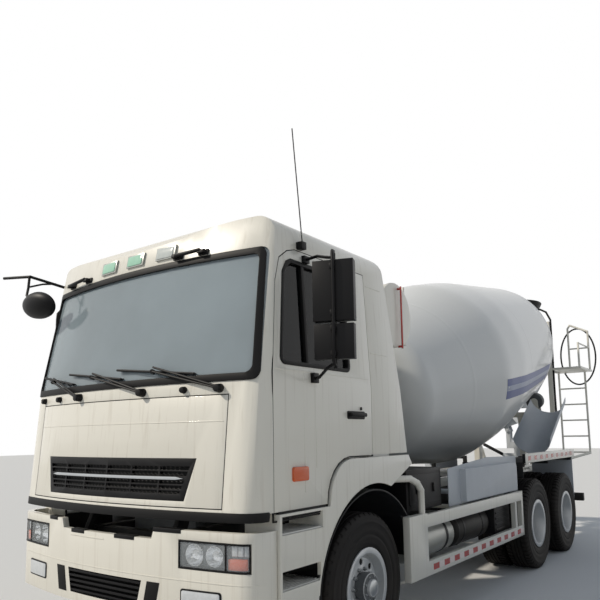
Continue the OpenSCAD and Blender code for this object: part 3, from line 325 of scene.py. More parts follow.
# Faces of a node that carry another finish: the node, a name for them, their slot and finish, and a test of
# each corner's place in metres from the front axle
OTHER_FACES = (
    ("front_fenders", "arch_liners", "black_plastic", "plastic",
     lambda p: abs(p.x) < 1.2405 and math.hypot(p.y, p.z - 0.54) < 0.79),
    ("front_fenders", "step_boxes", "black_plastic", "plastic", lambda p: abs(p.x) < 1.19 and p.z < 1.3),
    # Cab arms in black chassis paint; the cab floor's underside takes the same black as painted shade under the cab
    ("cab_shell", "cab_arms_and_floor_shade", "frame_paint", "frame", lambda p: p.z < 1.2149 and abs(p.x) < 1.17),
    ("bumper", "bumper_slats", "black_plastic", "plastic", lambda p: abs(p.x) < 0.42 and 0.6 < p.z < 0.78),
    # Back faces of the bumper in black, as painted shade in the dark gap behind the bumper
    ("bumper", "bumper_back_shade", "black_plastic", "plastic", lambda p: abs(p.x) < 1.17 and p.y > -1.33),
    ("tanks", "second_tank", "frame_paint", "frame", lambda p: p.x > 0.5 and p.y > 1.8),
    ("rear_fenders", "rear_flaps", "grey_paint", "grey", lambda p: p.y > 5.96 and p.z < 1.2905),
    ("roof_fittings", "roof_lamp_cases", "silver_paint", "silver",
     lambda p: abs(p.x) < 0.45 and p.z > 2.88 and p.y < -1),
)
# Parts of a node that a piece of this script stands for, by a test of the corner's place
REDRAWN = {
    "roof_fittings": lambda p: p.x < -1.19 and p.z < 2.9,
    "water_hoses": lambda p: p.y > 7.4,
}
# Nodes that a detailed piece of this script stands for
MADE_ELSEWHERE = {
    "drum", "seats", "headlamps",
    "tyre_front_left", "tyre_front_right", "tyres_mid_left", "tyres_mid_right", "tyres_rear_left", "tyres_rear_right",
}
finishes = {}


def node_bodies():
    """Body and material slot of every CAD node."""
    record = frame["record"]
    bodies = {n: b for b, nodes in record["behaviour"]["bodies"].items() for n in nodes}
    slots = {p["node"]: p["material_slot"] for p in record["subparts"]}
    return bodies, slots


# Shaping


def new_object(name, bm, body, finish, degrees=40, slot=None):
    """Mesh object from a bmesh, smoothed up to an angle, given its finish and tied to its body; its slot is worked out
    but not given to it.
    Pieces are drawn in metres from the front axle and shifted to the frame's origin here."""
    bmesh.ops.translate(bm, verts=bm.verts, vec=(0, -sizes().mid_y, 0))
    mesh = bpy.data.meshes.new(name)
    bm.to_mesh(mesh)
    bm.free()
    obj = bpy.data.objects.new(name, mesh)
    bpy.context.collection.objects.link(obj)
    mesh.materials.append(finishes[finish])
    mesh.shade_smooth()
    mesh.set_sharp_from_angle(angle=math.radians(degrees))
    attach(obj, body)
    slot = slot or USUAL_SLOT[finish]
    return obj


def dressed_copy(node, width, sharp=28):
    """Copy of a CAD node with its seams merged, flat faces joined and edges rounded."""
    bm = bmesh.new()
    bm.from_mesh(frame["nodes"][node].data)
    bmesh.ops.remove_doubles(bm, verts=bm.verts, dist=0.0002)
    bmesh.ops.dissolve_limit(bm, angle_limit=math.radians(0.5), verts=bm.verts, edges=bm.edges)
    bm.normal_update()
    edges = [e for e in bm.edges if len(e.link_faces) == 2 and e.calc_face_angle(0) > math.radians(sharp)]
    if width > 0 and edges:
        round_edges(bm, edges, width, 2)
    return bm


def taken(bm, faces):
    """Moves faces out of a bmesh into one of their own."""
    keep = {f.index for f in faces}
    own = bm.copy()
    own.faces.ensure_lookup_table()
    bmesh.ops.delete(own, geom=[f for f in own.faces if f.index not in keep], context="FACES")
    bmesh.ops.delete(bm, geom=faces, context="FACES")
    bm.faces.index_update()
    return own


def round_edges(bm, edges, width, segments=1):
    bmesh.ops.bevel(
        bm, geom=edges, offset=width, offset_type="OFFSET", segments=segments, profile=0.5,
        affect="EDGES", clamp_overlap=True, material=-1,
    )


def join(bm, piece, place=None, matrix=None):
    """Adds a finished small piece to a bmesh, put in its place first."""
    if matrix is not None:
        bmesh.ops.transform(piece, matrix=matrix, verts=piece.verts)
    if place is not None:
        for vert in piece.verts:
            vert.co = place(*vert.co)
    bmesh.ops.recalc_face_normals(piece, faces=piece.faces)
    mesh = bpy.data.meshes.new("piece")
    piece.to_mesh(mesh)
    piece.free()
    bm.from_mesh(mesh)
    bpy.data.meshes.remove(mesh)


def block(bm, low, high, edge=0.0, segments=1, place=None, matrix=None):
    """Box between two corners with rounded edges."""
    piece = bmesh.new()
    bmesh.ops.create_cube(piece, size=1)
    span = [b - a for a, b in zip(low, high)]
    bmesh.ops.scale(piece, vec=span, verts=piece.verts)
    bmesh.ops.translate(piece, vec=[(a + b) / 2 for a, b in zip(low, high)], verts=piece.verts)
    if edge:
        round_edges(piece, piece.edges[:], edge, segments)
    join(bm, piece, place, matrix)


def plate(bm, outline, low, high, place=None, edge=0.0015, step=0.0, inner=None, matrix=None):
    """Plate cut to an outline in (along, up) between two depths, with a hole where inner is given, its face
    edges rounded, cut every step along so that place can bend it."""
    piece = bmesh.new()
    outer = [piece.verts.new((u, v, low)) for u, v in outline]
    if inner:
        ring = [piece.verts.new((u, v, low)) for u, v in inner]
        edges = [piece.edges.new((row[i - 1], row[i])) for row in (outer, ring) for i in range(len(row))]
        bmesh.ops.bridge_loops(piece, edges=edges)
    else:
        piece.faces.new(outer)
    if step:
        start = min(u for u, v in outline)
        count = int((max(u for u, v in outline) - start) / step)
        for i in range(count):
            geom = piece.verts[:] + piece.edges[:] + piece.faces[:]
            bmesh.ops.bisect_plane(piece, geom=geom, plane_co=(start + step * (i + 0.5), 0, 0), plane_no=(1, 0, 0))
    raised = bmesh.ops.extrude_face_region(piece, geom=piece.faces[:])["geom"]
    tops = [g for g in raised if isinstance(g, bmesh.types.BMVert)]
    bmesh.ops.translate(piece, vec=(0, 0, high - low), verts=tops)
    bmesh.ops.recalc_face_normals(piece, faces=piece.faces)
    if edge:
        level = set(tops)
        rims = [e for e in piece.edges if set(e.verts) <= level and e.calc_face_angle(0) > 0.8]
        round_edges(piece, rims, edge, 2)
    join(bm, piece, place, matrix)


def fresh(count):
    """So many empty meshes to build on."""
    return [bmesh.new() for _ in range(count)]


def rounded(left, right, low, high, radius, steps=4, lean=0.0):
    """Outline of a rectangle with round corners, whose upper end is narrower by lean on both sides."""
    points = []
    corners = ((right, low, 270), (right - lean, high, 0), (left + lean, high, 90), (left, low, 180))
    for x, z, start in corners:
        cx = x - radius if start in (270, 0) else x + radius
        cz = z + radius if start in (270, 180) else z - radius
        for i in range(steps + 1):
            angle = math.radians(start + 90 * i / steps)
            points.append((cx + radius * math.cos(angle), cz + radius * math.sin(angle)))
    return points


def mirrored(side, outline):
    """Outline on the left side of the truck, or its mirror image on the right."""
    return [(side * along, up) for along, up in outline]


def aim(start, end):
    """Matrix that puts local z from start towards end."""
    start, end = Vector(start), Vector(end)
    return Matrix.Translation(start) @ Vector((0, 0, 1)).rotation_difference(end - start).to_matrix().to_4x4()


def rod(bm, start, end, radius, segments=12, tip=None, edge=0.0, place=None):
    """Round bar or cone from start to end."""
    if place is not None:
        start, end = place(*start), place(*end)
    piece = bmesh.new()
    length = (Vector(end) - Vector(start)).length
    bmesh.ops.create_cone(
        piece, cap_ends=True, segments=segments, radius1=radius, radius2=radius if tip is None else tip, depth=length
    )
    bmesh.ops.translate(piece, vec=(0, 0, length / 2), verts=piece.verts)
    if edge:
        rims = [e for e in piece.edges if abs(e.verts[0].co.z - e.verts[1].co.z) < 1e-6]
        round_edges(piece, rims, edge, 2)
    join(bm, piece, matrix=aim(start, end))


def tube(bm, points, radius, segments=8):
    """Round hose or bent bar along a row of points."""
    points = [Vector(p) for p in points]
    piece = bmesh.new()
    start = (points[1] - points[0]).normalized()
    bmesh.ops.create_circle(piece, cap_ends=False, segments=segments, radius=radius)
    bmesh.ops.transform(piece, matrix=aim(points[0], points[1]), verts=piece.verts)
    edges = piece.edges[:]
    first = edges[:]
    for i in range(1, len(points)):
        ahead = (points[min(i + 1, len(points) - 1)] - points[i - 1]).normalized()
        grown = bmesh.ops.extrude_edge_only(piece, edges=edges)["geom"]
        verts = [g for g in grown if isinstance(g, bmesh.types.BMVert)]
        edges = [g for g in grown if isinstance(g, bmesh.types.BMEdge) and all(v in verts for v in g.verts)]
        swing = start.rotation_difference(ahead)
        for vert in verts:
            vert.co = points[i] + swing @ (vert.co - points[i - 1])
        start = ahead
    bmesh.ops.edgeloop_fill(piece, edges=first)
    bmesh.ops.edgeloop_fill(piece, edges=edges)
    join(bm, piece)


def spun(profile, steps, closed=False):
    """Surface of revolution about local z from (radius, height) points."""
    piece = bmesh.new()
    verts = [piece.verts.new((r, 0, h)) for r, h in profile]
    for pair in zip(verts, verts[1:] + verts[:1] if closed else verts[1:]):
        piece.edges.new(pair)
    bmesh.ops.spin(
        piece, geom=piece.verts[:] + piece.edges[:], axis=(0, 0, 1), cent=(0, 0, 0), angle=math.tau,
        steps=steps, use_merge=True,
    )
    bmesh.ops.remove_doubles(piece, verts=piece.verts, dist=0.00001)
    return piece


def turned(bm, profile, matrix, steps=48, closed=False):
    """Body of revolution put in its place."""
    join(bm, spun(profile, steps, closed), matrix=matrix)


def skin(bm, grid):
    """Faces between the rows of a grid of vertices."""
    for a, b in zip(grid, grid[1:]):
        for k in range(len(a) - 1):
            bm.faces.new((a[k], a[k + 1], b[k + 1], b[k]))


def sideways(side, x, y, z):
    """Matrix for a wheel or a disc whose local z points outwards on that side of the truck."""
    return Matrix.Translation((side * x, y, z)) @ Matrix.Rotation(math.radians(90 * side), 4, "Y")


# Curved faces of the cab, as places for pieces drawn flat in (along, up, out)

# Front of the cab in plan: its bow's radius and middle, the angle at which the corner starts, the corner's
# radius and middle, and half the cab's width
BOW = 5.06
BOW_Y = 3.64
BOW_ANGLE = math.radians(12.49)
CORNER = 0.16
CORNER_Y = -1.144
CAB_HALF = 1.22
# Height at which the front bends back, its lean below and above in degrees, and the bumper's step ahead
BELT = 2.05
RAKE_BELOW = 5
RAKE_ABOVE = 11
BUMPER_STEP = 0.08
# Height from which the sides lean in, and by how much of each metre
WAIST = 2.02
SIDE_LEAN = 0.0559


def bowed(along, up, out, shift, below, above):
    """Place on a bowed front from the way round it, the height and the distance out; shift moves it back,
    and below and above are its leans in degrees."""
    side = -1 if along < 0 else 1
    way = abs(along)
    straight = BOW * BOW_ANGLE
    around = CORNER * (math.pi / 2 - BOW_ANGLE)
    if way < straight:
        angle = way / BOW
        x, y = BOW * math.sin(angle), BOW_Y - BOW * math.cos(angle)
    elif way < straight + around:
        angle = BOW_ANGLE + (way - straight) / CORNER
        x, y = CAB_HALF - CORNER + CORNER * math.sin(angle), CORNER_Y - CORNER * math.cos(angle)
    else:
        angle = math.pi / 2
        x, y = CAB_HALF, CORNER_Y + way - straight - around
    y += shift + (up - BELT) * math.tan(math.radians(above if up > BELT else below))
    narrow = SIDE_LEAN * max(up - WAIST, 0) * math.sin(angle)
    return Vector((side * (x - narrow + out * math.sin(angle)), y - out * math.cos(angle), up))


def on_cab(along, up, out=0.0):
    """Place on the cab's front."""
    return bowed(along, up, out, 0, RAKE_BELOW, RAKE_ABOVE)


def on_bumper(along, up, out=0.0):
    """Place on the bumper's front, which is upright."""
    return bowed(along, up, out, -BUMPER_STEP, 0, 0)


def on_flank(side):
    """Place on the cab's side from (y, z, out)."""
    return lambda along, up, out=0.0: Vector(
        (side * (CAB_HALF - SIDE_LEAN * max(up - WAIST, 0) + out), along, up)
    )


def on_guard(side, x):
    """Place on an upright side face at this distance from the middle, from (y, z, out)."""
    return lambda along, up, out=0.0: Vector((side * (x + out), along, up))


# Pieces


class MIXER_OT_parts(bpy.types.Operator):
    """Paints every CAD part that no detailed piece stands for"""

    bl_idname = "mixer.parts"
    bl_label = "Parts"

    def execute(self, context):
        bodies, slots = node_bodies()
        for node in frame["nodes"]:
            if node in MADE_ELSEWHERE:
                continue
            slot = slots[node]
            edge = 0 if slot in ("glass_tint", "hose_rubber") else sizes().bevel
            if node.startswith("mirror"):
                edge = 0.014
            finish = NODE_FINISH.get(node, SLOT_FINISH[slot])
            bm = dressed_copy(node, edge)
            bmesh.ops.translate(bm, verts=bm.verts, vec=(0, sizes().mid_y, 0))
            if node in REDRAWN:
                redrawn = [v for v in bm.verts if REDRAWN[node](v.co)]
                bmesh.ops.delete(bm, geom=redrawn, context="VERTS")
            for owner, name, other_slot, other, test in OTHER_FACES:
                if owner == node:
                    chosen = [f for f in bm.faces if all(test(v.co) for v in f.verts)]
                    if chosen:
                        new_object(name, taken(bm, chosen), bodies[node], other, 32, other_slot)
            obj = new_object(node + "_look", bm, bodies[node], finish, 32, slot)
            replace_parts(obj, node)
        return {"FINISHED"}


WHEELS = (
    ("front_left", "front_wheel_left", 1), ("front_right", "front_wheel_right", -1),
    ("mid_left", "mid_wheel_left", 1), ("mid_right", "mid_wheel_right", -1),
    ("rear_left", "rear_wheel_left", 1), ("rear_right", "rear_wheel_right", -1),
)


def wheel_places(name, side):
    """Matrices of the tyres of one wheel body, outer side along local z."""
    s = sizes()
    if name.startswith("front"):
        return [sideways(side, s.front_track, 0, s.tyre_r)]
    y = s.wheelbase if name.startswith("mid") else s.wheelbase + s.tandem
    half = s.twin_pitch / 2
    return [sideways(side, s.rear_track + step, y, s.tyre_r) for step in (-half, half)]


# Treads of a front and of a driven tyre: steps round it, places of its grooves from the middle, the width of
# its shoulder, and how far in and how deep the shoulder is cut
TREADS = {
    "front": {"steps": 144, "grooves": (0.022, 0.07), "shoulder": 0.034, "reach": 0.022, "depth": 0.006},
    "driven": {"steps": 180, "grooves": (0.012, 0.058), "shoulder": 0.0775, "reach": 0.045, "depth": 0.012},
}
GROOVE_WIDE, GROOVE_DEEP = 0.012, 0.013


def tyre(bm, matrix, driven):
    """Tyre with ribbed tread, ringed sidewalls and, on driven wheels, open shoulder lugs."""
    s = sizes()
    r, seat, half = s.tyre_r, s.rim_r, s.tyre_w / 2
    bead = half - 0.018
    kind = TREADS["driven" if driven else "front"]
    tread = [(r, 0.0)]
    for at in kind["grooves"]:
        foot = r - GROOVE_DEEP
        tread += [(r, at), (foot, at + 0.003), (foot, at + GROOVE_WIDE - 0.003), (r, at + GROOVE_WIDE)]
    wall = [
        (r, half - 0.034), (r - 0.006, half - 0.026), (r - 0.022, half - 0.014), (r - 0.045, half - 0.008),
        (r - 0.06, half - 0.006), (r - 0.066, half - 0.0015), (r - 0.072, half - 0.0015), (r - 0.078, half - 0.0045),
        (seat + 0.165, half - 0.0005), (seat + 0.13, half - 0.001), (seat + 0.126, half - 0.004),
        (seat + 0.118, half - 0.004), (seat + 0.114, half - 0.002), (seat + 0.1, half - 0.003),
        (seat + 0.07, bead + 0.0105), (seat + 0.05, bead + 0.0068), (seat + 0.046, bead + 0.003),
        (seat + 0.032, bead - 0.001), (seat + 0.0005, bead - 0.001),
    ]
    outer = tread + wall
    profile = [(radius, -h) for radius, h in reversed(outer[1:])] + outer
    steps = kind["steps"]
    piece = spun(profile, steps, closed=True)
    bmesh.ops.recalc_face_normals(piece, faces=piece.faces)
    voids = []
    for face in piece.faces:
        centre = face.calc_center_median()
        column = int((math.atan2(centre.y, centre.x) + math.pi) / math.tau * steps)
        if centre.z < 0:
            column += 1
        out = math.hypot(centre.x, centre.y)
        if abs(centre.z) > half - kind["shoulder"] and out > r - kind["reach"] and column % 3 == 0:
            voids.append(face)
    grown = bmesh.ops.extrude_face_region(piece, geom=voids)["geom"]
    bmesh.ops.delete(piece, geom=voids, context="FACES")
    for vert in grown:
        if isinstance(vert, bmesh.types.BMVert):
            out = math.hypot(vert.co.x, vert.co.y)
            sunk = (out - kind["depth"]) / out
            vert.co.x *= sunk
            vert.co.y *= sunk
            vert.co.z *= 0.985
    join(bm, piece, matrix=matrix)


def nuts(bm, matrix, radius, height, count, size_, studs=True):
    """Ring of hexagon nuts with their studs about local z."""
    for i in range(count):
        angle = math.tau * (i + 0.5) / count
        at = Matrix.Translation((radius * math.cos(angle), radius * math.sin(angle), height))
        piece = bmesh.new()
        bmesh.ops.create_cone(piece, cap_ends=True, segments=6, radius1=size_, radius2=size_ * 0.93, depth=size_ * 1.1)
        bmesh.ops.translate(piece, vec=(0, 0, size_ * 0.55), verts=piece.verts)
        join(bm, piece, matrix=matrix @ at)
        if studs:
            start = matrix @ at @ Vector((0, 0, size_))
            rod(bm, start, matrix @ at @ Vector((0, 0, size_ * 1.7)), size_ * 0.55, 8)


# What sits on a rim along the wheel's axis, of a front wheel and of twins: the heights of disc, hub and cap,
# the radii of cap and hub, the hub's bolts, and the height, ring and radius of the dark hand holes
RIMS = {
    "front": {
        "disc": 0.084, "hub": 0.165, "cap": 0.189, "cap_r": 0.062, "hub_r": 0.107, "bolts": 8,
        "hole": 0.0765, "holes_r": 0.178, "hole_r": 0.0236,
    },
    "twin": {
        "disc": 0.014, "hub": 0.14, "cap": 0.159, "cap_r": 0.08, "hub_r": 0.112, "bolts": 12,
        "hole": 0.0065, "holes_r": 0.17, "hole_r": 0.0216,
    },
}
HAND_HOLES = 8
NUT_RING = 0.129
BOLT_RING = 0.088


class MIXER_OT_wheels(bpy.types.Operator):
    """Treaded tyres, wheel nuts, hub faces, hand holes and valves"""

    bl_idname = "mixer.wheels"
    bl_label = "Wheels"

    def execute(self, context):
        for name, body, side in WHEELS:
            places = wheel_places(name, side)
            front = len(places) == 1
            rubber, metal, pits, iron = fresh(4)
            for place in places:
                tyre(rubber, place, not front)
            outer = places[-1] if front else places[0] @ Matrix.Translation((0, 0, sizes().twin_pitch / 2))
            rim = RIMS["front" if front else "twin"]
            disc, hub, cap = rim["disc"], rim["hub"], rim["cap"]
            nuts(metal, outer, NUT_RING, disc, 10, 0.017)
            nuts(metal, outer, BOLT_RING, hub + 0.002, rim["bolts"], 0.009, False)
            # Dark discs behind the rims' hand holes: painted shade seen through the holes
            r = rim["hole_r"]
            for i in range(HAND_HOLES):
                around = Matrix.Rotation(math.tau * i / HAND_HOLES, 4, "Z")
                hole = outer @ around @ Matrix.Translation((rim["holes_r"], 0, rim["hole"]))
                turned(pits, [(0, 0), (r, 0), (r, -0.001), (0, -0.001)], hole, 20)
            r = rim["hub_r"]
            top = [(0, hub + 0.002), (r - 0.008, hub + 0.002), (r, hub - 0.007)]
            turned(iron, top + [(r, disc + 0.001), (0, disc + 0.001)], outer, 48)
            r = rim["cap_r"]
            top = [(0, cap + 0.006), (r * 0.7, cap + 0.005), (r * 0.86, cap)]
            turned(metal, top + [(r * 0.86, cap - 0.004), (0, cap - 0.004)], outer, 32)
            rod(metal, outer @ Vector((0.205, 0, disc - 0.01)), outer @ Vector((0.222, 0, disc + 0.045)), 0.005, 8)
            prefix = "tyre_" if front else "tyres_"
            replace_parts(new_object(name + "_tread", rubber, body, "tyre"), prefix + name)
            new_object(name + "_nuts", metal, body, "zinc")
            new_object(name + "_hand_hole_shade", pits, body, "mesh", slot="wheel_steel")
            new_object(name + "_hub_face", iron, body, "cast", slot="wheel_steel")
        return {"FINISHED"}


def drum_axis():
    """Matrix with local z along the drum's axis, towards its mouth."""
    s = sizes()
    return Matrix.Translation((0, s.drum_y, s.drum_z)) @ Matrix.Rotation(s.drum_tilt - math.pi / 2, 4, "X")


# Ways along the drum's axis at which its head, belly, rear cone, neck and mouth start, and its line as
# (way, radius)
HEAD, BELLY, CONE, NECK, MOUTH = -0.97, 0.36, 1.05, 3.13, 3.85
HEAD_R = 0.82
WALL = 0.0103
DRUM_LINE = ((HEAD, HEAD_R), (BELLY, 1.18), (CONE, 1.18), (NECK, 1.005), (MOUTH, 0.6))
# Weld seams along the shell, and the film band: its ways, width, first angle in degrees and slope in
# degrees a metre
SEAMS = (-0.3, 1.5)
FILM_FROM, FILM_TO = 0.34, 3.05
FILM_WIDE = 0.25
FILM_START = 6.0
FILM_SLOPE = 4.5


def drum_radius(way, soft=0.12):
    """Shell radius at this way along the axis, its bends rolled to a curve."""
    if soft and way < 2.6:
        return sum(drum_radius(way + soft * k / 4, 0) for k in range(-4, 5)) / 9
    for (a, ra), (b, rb) in zip(DRUM_LINE, DRUM_LINE[1:]):
        if way <= b:
            return ra + (rb - ra) * (way - a) / (b - a)
    return DRUM_LINE[-1][1]


def on_drum(along, up, out=0.0):
    """Place on the drum's shell from (way along the axis, degrees below its left side, out)."""
    radius = drum_radius(along) + out
    angle = math.radians(up)
    return drum_axis() @ Vector((radius * math.cos(angle), radius * math.sin(angle), along))


class MIXER_OT_drum(bpy.types.Operator):
    """Drum shell with weld seams, track ring, mouth ring, mixing blades and the film band"""

    bl_idname = "mixer.drum"
    bl_label = "Drum"

    def execute(self, context):
        axis = drum_axis()
        bm = bmesh.new()

        def dished(radius, depth, degrees):
            angle = math.radians(degrees)
            return radius * math.sin(angle), HEAD - depth * math.cos(angle)

        ways = [-0.85 + 0.05 * i for i in range(70)] + [2.7, 2.9, NECK, 3.3, 3.6, MOUTH]
        marks = [(way, 0.0) for way in ways if all(abs(way - at) > 0.02 for at in SEAMS)]
        for at in SEAMS:
            marks += [(at - 0.012, 0.0), (at - 0.004, 0.0012), (at + 0.004, 0.0012), (at + 0.012, 0.0)]
        line = [(0.3, -1.29), (0.3, -1.318)] + [dished(HEAD_R, 0.37, a) for a in range(20, 91, 5)]
        line += [(drum_radius(way) + rise, way) for way, rise in sorted(marks)]
        line += [(drum_radius(way) - WALL, way) for way in (MOUTH, NECK, CONE, BELLY, HEAD)]
        line += [dished(HEAD_R - 0.01, 0.36, a) for a in range(80, 9, -10)]
        turned(bm, line + [(0, -1.32), (0, -1.28)], axis, 160)
        track = [(0.87, 3.185), (0.982, 3.185), (0.985, 3.188), (0.985, 3.272), (0.982, 3.275), (0.87, 3.275)]
        turned(bm, track, axis, 160, closed=True)
        mouth = [(0.598, 3.81), (0.629, 3.81), (0.632, 3.814), (0.632, 3.846), (0.629, MOUTH), (0.598, MOUTH)]
        turned(bm, mouth, axis, 160, closed=True)
        rod(bm, axis @ Vector((0, 0, -1.56)), axis @ Vector((0, 0, -1.3)), 0.08, 32)
        turned(bm, [(0, -1.335), (0.295, -1.335), (0.3, -1.33), (0.3, -1.3), (0, -1.3)], axis, 64)
        nuts(bm, axis @ Matrix.Rotation(math.pi, 4, "X"), 0.26, 1.335, 16, 0.011, False)
        nuts(bm, axis, 0.615, MOUTH, 24, 0.008, False)
        obj = new_object("drum_shell", bm, "mixing_drum", "drum")
        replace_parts(obj, "drum")

        blades = bmesh.new()
        for start in (0, math.pi):
            rows = []
            for i in range(57):
                way, angle = 3.78 - 0.035 * i, start + i * 0.11
                radius = drum_radius(way) - 0.012
                foot = Vector((radius * math.cos(angle), radius * math.sin(angle), way))
                tip_r = radius - 0.16
                tip = Vector((tip_r * math.cos(angle), tip_r * math.sin(angle), way + 0.03))
                rows.append([blades.verts.new(axis @ p) for p in (foot, tip)])
            skin(blades, rows)
        bmesh.ops.solidify(blades, geom=blades.faces[:], thickness=0.006)
        bmesh.ops.recalc_face_normals(blades, faces=blades.faces)
        new_object("mixing_blades", blades, "mixing_drum", "grey", slot="white_paint")

        film, edge = fresh(2)
        for bm, low, high, out in ((film, 0.0, 1.0, 0.0012), (edge, 0.0, 0.34, 0.0022), (edge, 0.6, 1.0, 0.0022)):
            grid = []
            for i in range(28):
                way = FILM_FROM + (FILM_TO - FILM_FROM) * i / 27
                span = math.degrees(FILM_WIDE / drum_radius(way))
                top = FILM_START + (way - FILM_FROM) * FILM_SLOPE
                shares = [low + (high - low) * k / 6 for k in range(7)]
                grid.append([bm.verts.new(on_drum(way, top + span * share, out)) for share in shares])
            skin(bm, grid)
            bmesh.ops.recalc_face_normals(bm, faces=bm.faces)
        new_object("film_band", film, "mixing_drum", "blue_pale", 60)
        new_object("film_edges", edge, "mixing_drum", "blue", 60)
        return {"FINISHED"}


def window_line(grow):
    """Outline of the door window as (y, z), grown outwards."""
    points = []
    radius = 0.045 + grow
    for cy, cz, start in ((-1.055, 2.155, 180), (-0.33, 2.155, 270), (-0.33, 2.775, 0)):
        for i in range(5):
            angle = math.radians(start + 22.5 * i)
            points.append((cy + radius * math.cos(angle), cz + radius * math.sin(angle)))
    slant = ((-0.936, 2.82, 0.3, 1), (-0.985, 2.795, 1, 0.8), (-1.032, 2.72, 1, 0.4))
    return points + [(y - grow * back, z + grow * up) for y, z, back, up in slant]


def door_line(grow):
    """Outline of a door as (y, z)."""
    points = [(-1.178 - grow, 1.155 - grow), (-0.615 + grow, 1.155 - grow)]
    for i in range(7):
        angle = math.radians(178 - 86 * i / 6)
        points.append((-0.315 + (0.3 - grow) * math.cos(angle), 1.21 + (0.3 - grow) * math.sin(angle)))
    return points + [
        (grow, 1.505 - grow), (grow, 2.895 + grow), (-0.88, 2.895 + grow), (-0.965 - grow, 2.868 + grow),
        (-1.053 - grow, 2.805 + grow), (-1.108 - grow, 2.64 + grow), (-1.178 - grow, 2.05),
    ]


# Wipers on the cab's front in (along, up): pivot, elbow and the two ends of the blade
WIPERS = (
    ((0.935, 1.957), (0.40, 2.092), ((0.02, 2.128), (0.74, 2.058))),
    ((0.30, 1.957), (-0.24, 2.095), ((-0.60, 2.142), (0.08, 2.062))),
    ((-0.41, 1.957), (-0.83, 2.1), ((-1.06, 2.15), (-0.52, 2.062))),
)


class MIXER_OT_screen(bpy.types.Operator):
    """Windscreen rubber, wipers, roof lamp lenses and grab handles"""

    bl_idname = "mixer.screen"
    bl_label = "Windscreen"

    def execute(self, context):
        seal, wipers, handles, green, clear = fresh(5)
        plate(
            seal, rounded(-1.202, 1.202, 2.001, 2.874, 0.055, 6, 0.032), -0.018, 0.007, on_cab, 0.004, 0.035,
            rounded(-1.15, 1.15, 2.046, 2.83, 0.05, 6, 0.032),
        )
        new_object("windscreen_rubber", seal, "cab", "rubber")

        def bar(start, end, *shape):
            rod(wipers, start, end, *shape, place=on_cab)

        for pivot, elbow, ends in WIPERS:
            bar((*pivot, -0.005), (*pivot, 0.05), 0.03, 16, 0.024, 0.003)
            for shift in (0.0, 0.028):
                bar((pivot[0], pivot[1] + shift * 0.4, 0.035), (elbow[0], elbow[1] + shift, 0.034), 0.0075, 8)
            bar((*elbow, 0.04), (elbow[0] - 0.01, elbow[1] - 0.002, 0.012), 0.016, 8)
            for out, radius in ((0.014, 0.009), (-0.004, 0.006)):
                bar((*ends[0], out), (*ends[1], out), radius, 6)
            middle = [(a + b) / 2 for a, b in zip(*ends)]
            for pair in (ends, ends[::-1]):
                quarter = [a * 0.75 + b * 0.25 for a, b in zip(*pair)]
                bar((*middle, 0.026), (*quarter, 0.016), 0.005, 6)
        for x in (-1.0, -0.72, 0.66):
            bar((x, 1.957, -0.003), (x, 1.957, 0.032), 0.024, 16, 0.019, 0.003)
        new_object("wipers", wipers, "cab", "plastic")

        for x, lens in ((-0.33, green), (-0.01, green), (0.31, clear)):
            plate(lens, rounded(x - 0.08, x + 0.08, 2.915, 2.991, 0.012), 0.012, 0.022, on_cab, 0.004, 0.05)
        new_object("roof_lamp_lenses", green, "cab", "green")
        new_object("roof_lamp_clear_lens", clear, "cab", "clear")
        for left, right, low in ((0.41, 0.69, 2.9), (-0.93, -0.6, 2.905)):
            ends = (left + 0.03, low, 0.045), (right - 0.03, low + 0.01, 0.045)
            rod(handles, *ends, 0.013, 12, 0.013, 0.003, on_cab)
            for x, step in ((left, 0.055), (right, -0.055)):
                a, b = sorted((x, x + step))
                foot = rounded(a - 0.015, b + 0.015, low - 0.02, low + 0.022, 0.008)
                plate(handles, foot, -0.004, 0.014, on_cab, 0.004)
                plate(handles, rounded(a, b, low - 0.013, low + 0.016, 0.006), 0.01, 0.05, on_cab, 0.004)
        new_object("brow_handles", handles, "cab", "plastic")
        return {"FINISHED"}


# Grille mesh: left end, width and height of a cell, the rise of its zigzag, and the lines of its two fields
MESH_LEFT = -0.702
CELL_WIDE, CELL_HIGH, CELL_LIFT = 0.036, 0.014, 0.0105
MESH_FIELDS = (1.312, 1.424)
MESH_ROWS = 3
WIRE = 0.0022
LID_HALF = 0.99
HEADLAMP_Z = 0.958


def honeycomb(bm, base):
    """One field of six-sided cells across the grille, upwards from base."""
    for row in range(MESH_ROWS + 1):
        z = base + row * (CELL_HIGH + CELL_LIFT)
        lifts = [CELL_LIFT if (k + row) % 2 else 0 for k in range(79)]
        places = [MESH_LEFT + CELL_WIDE * k / 2 for k in range(79)]
        tube(bm, [on_cab(x, z + lift, -0.006) for x, lift in zip(places, lifts)], WIRE, 4)
        if row < MESH_ROWS:
            for x, lift in list(zip(places, lifts))[1:-1]:
                if lift:
                    rod(bm, (x, z + lift, -0.006), (x, z + lift + CELL_HIGH, -0.006), WIRE, 4, place=on_cab)


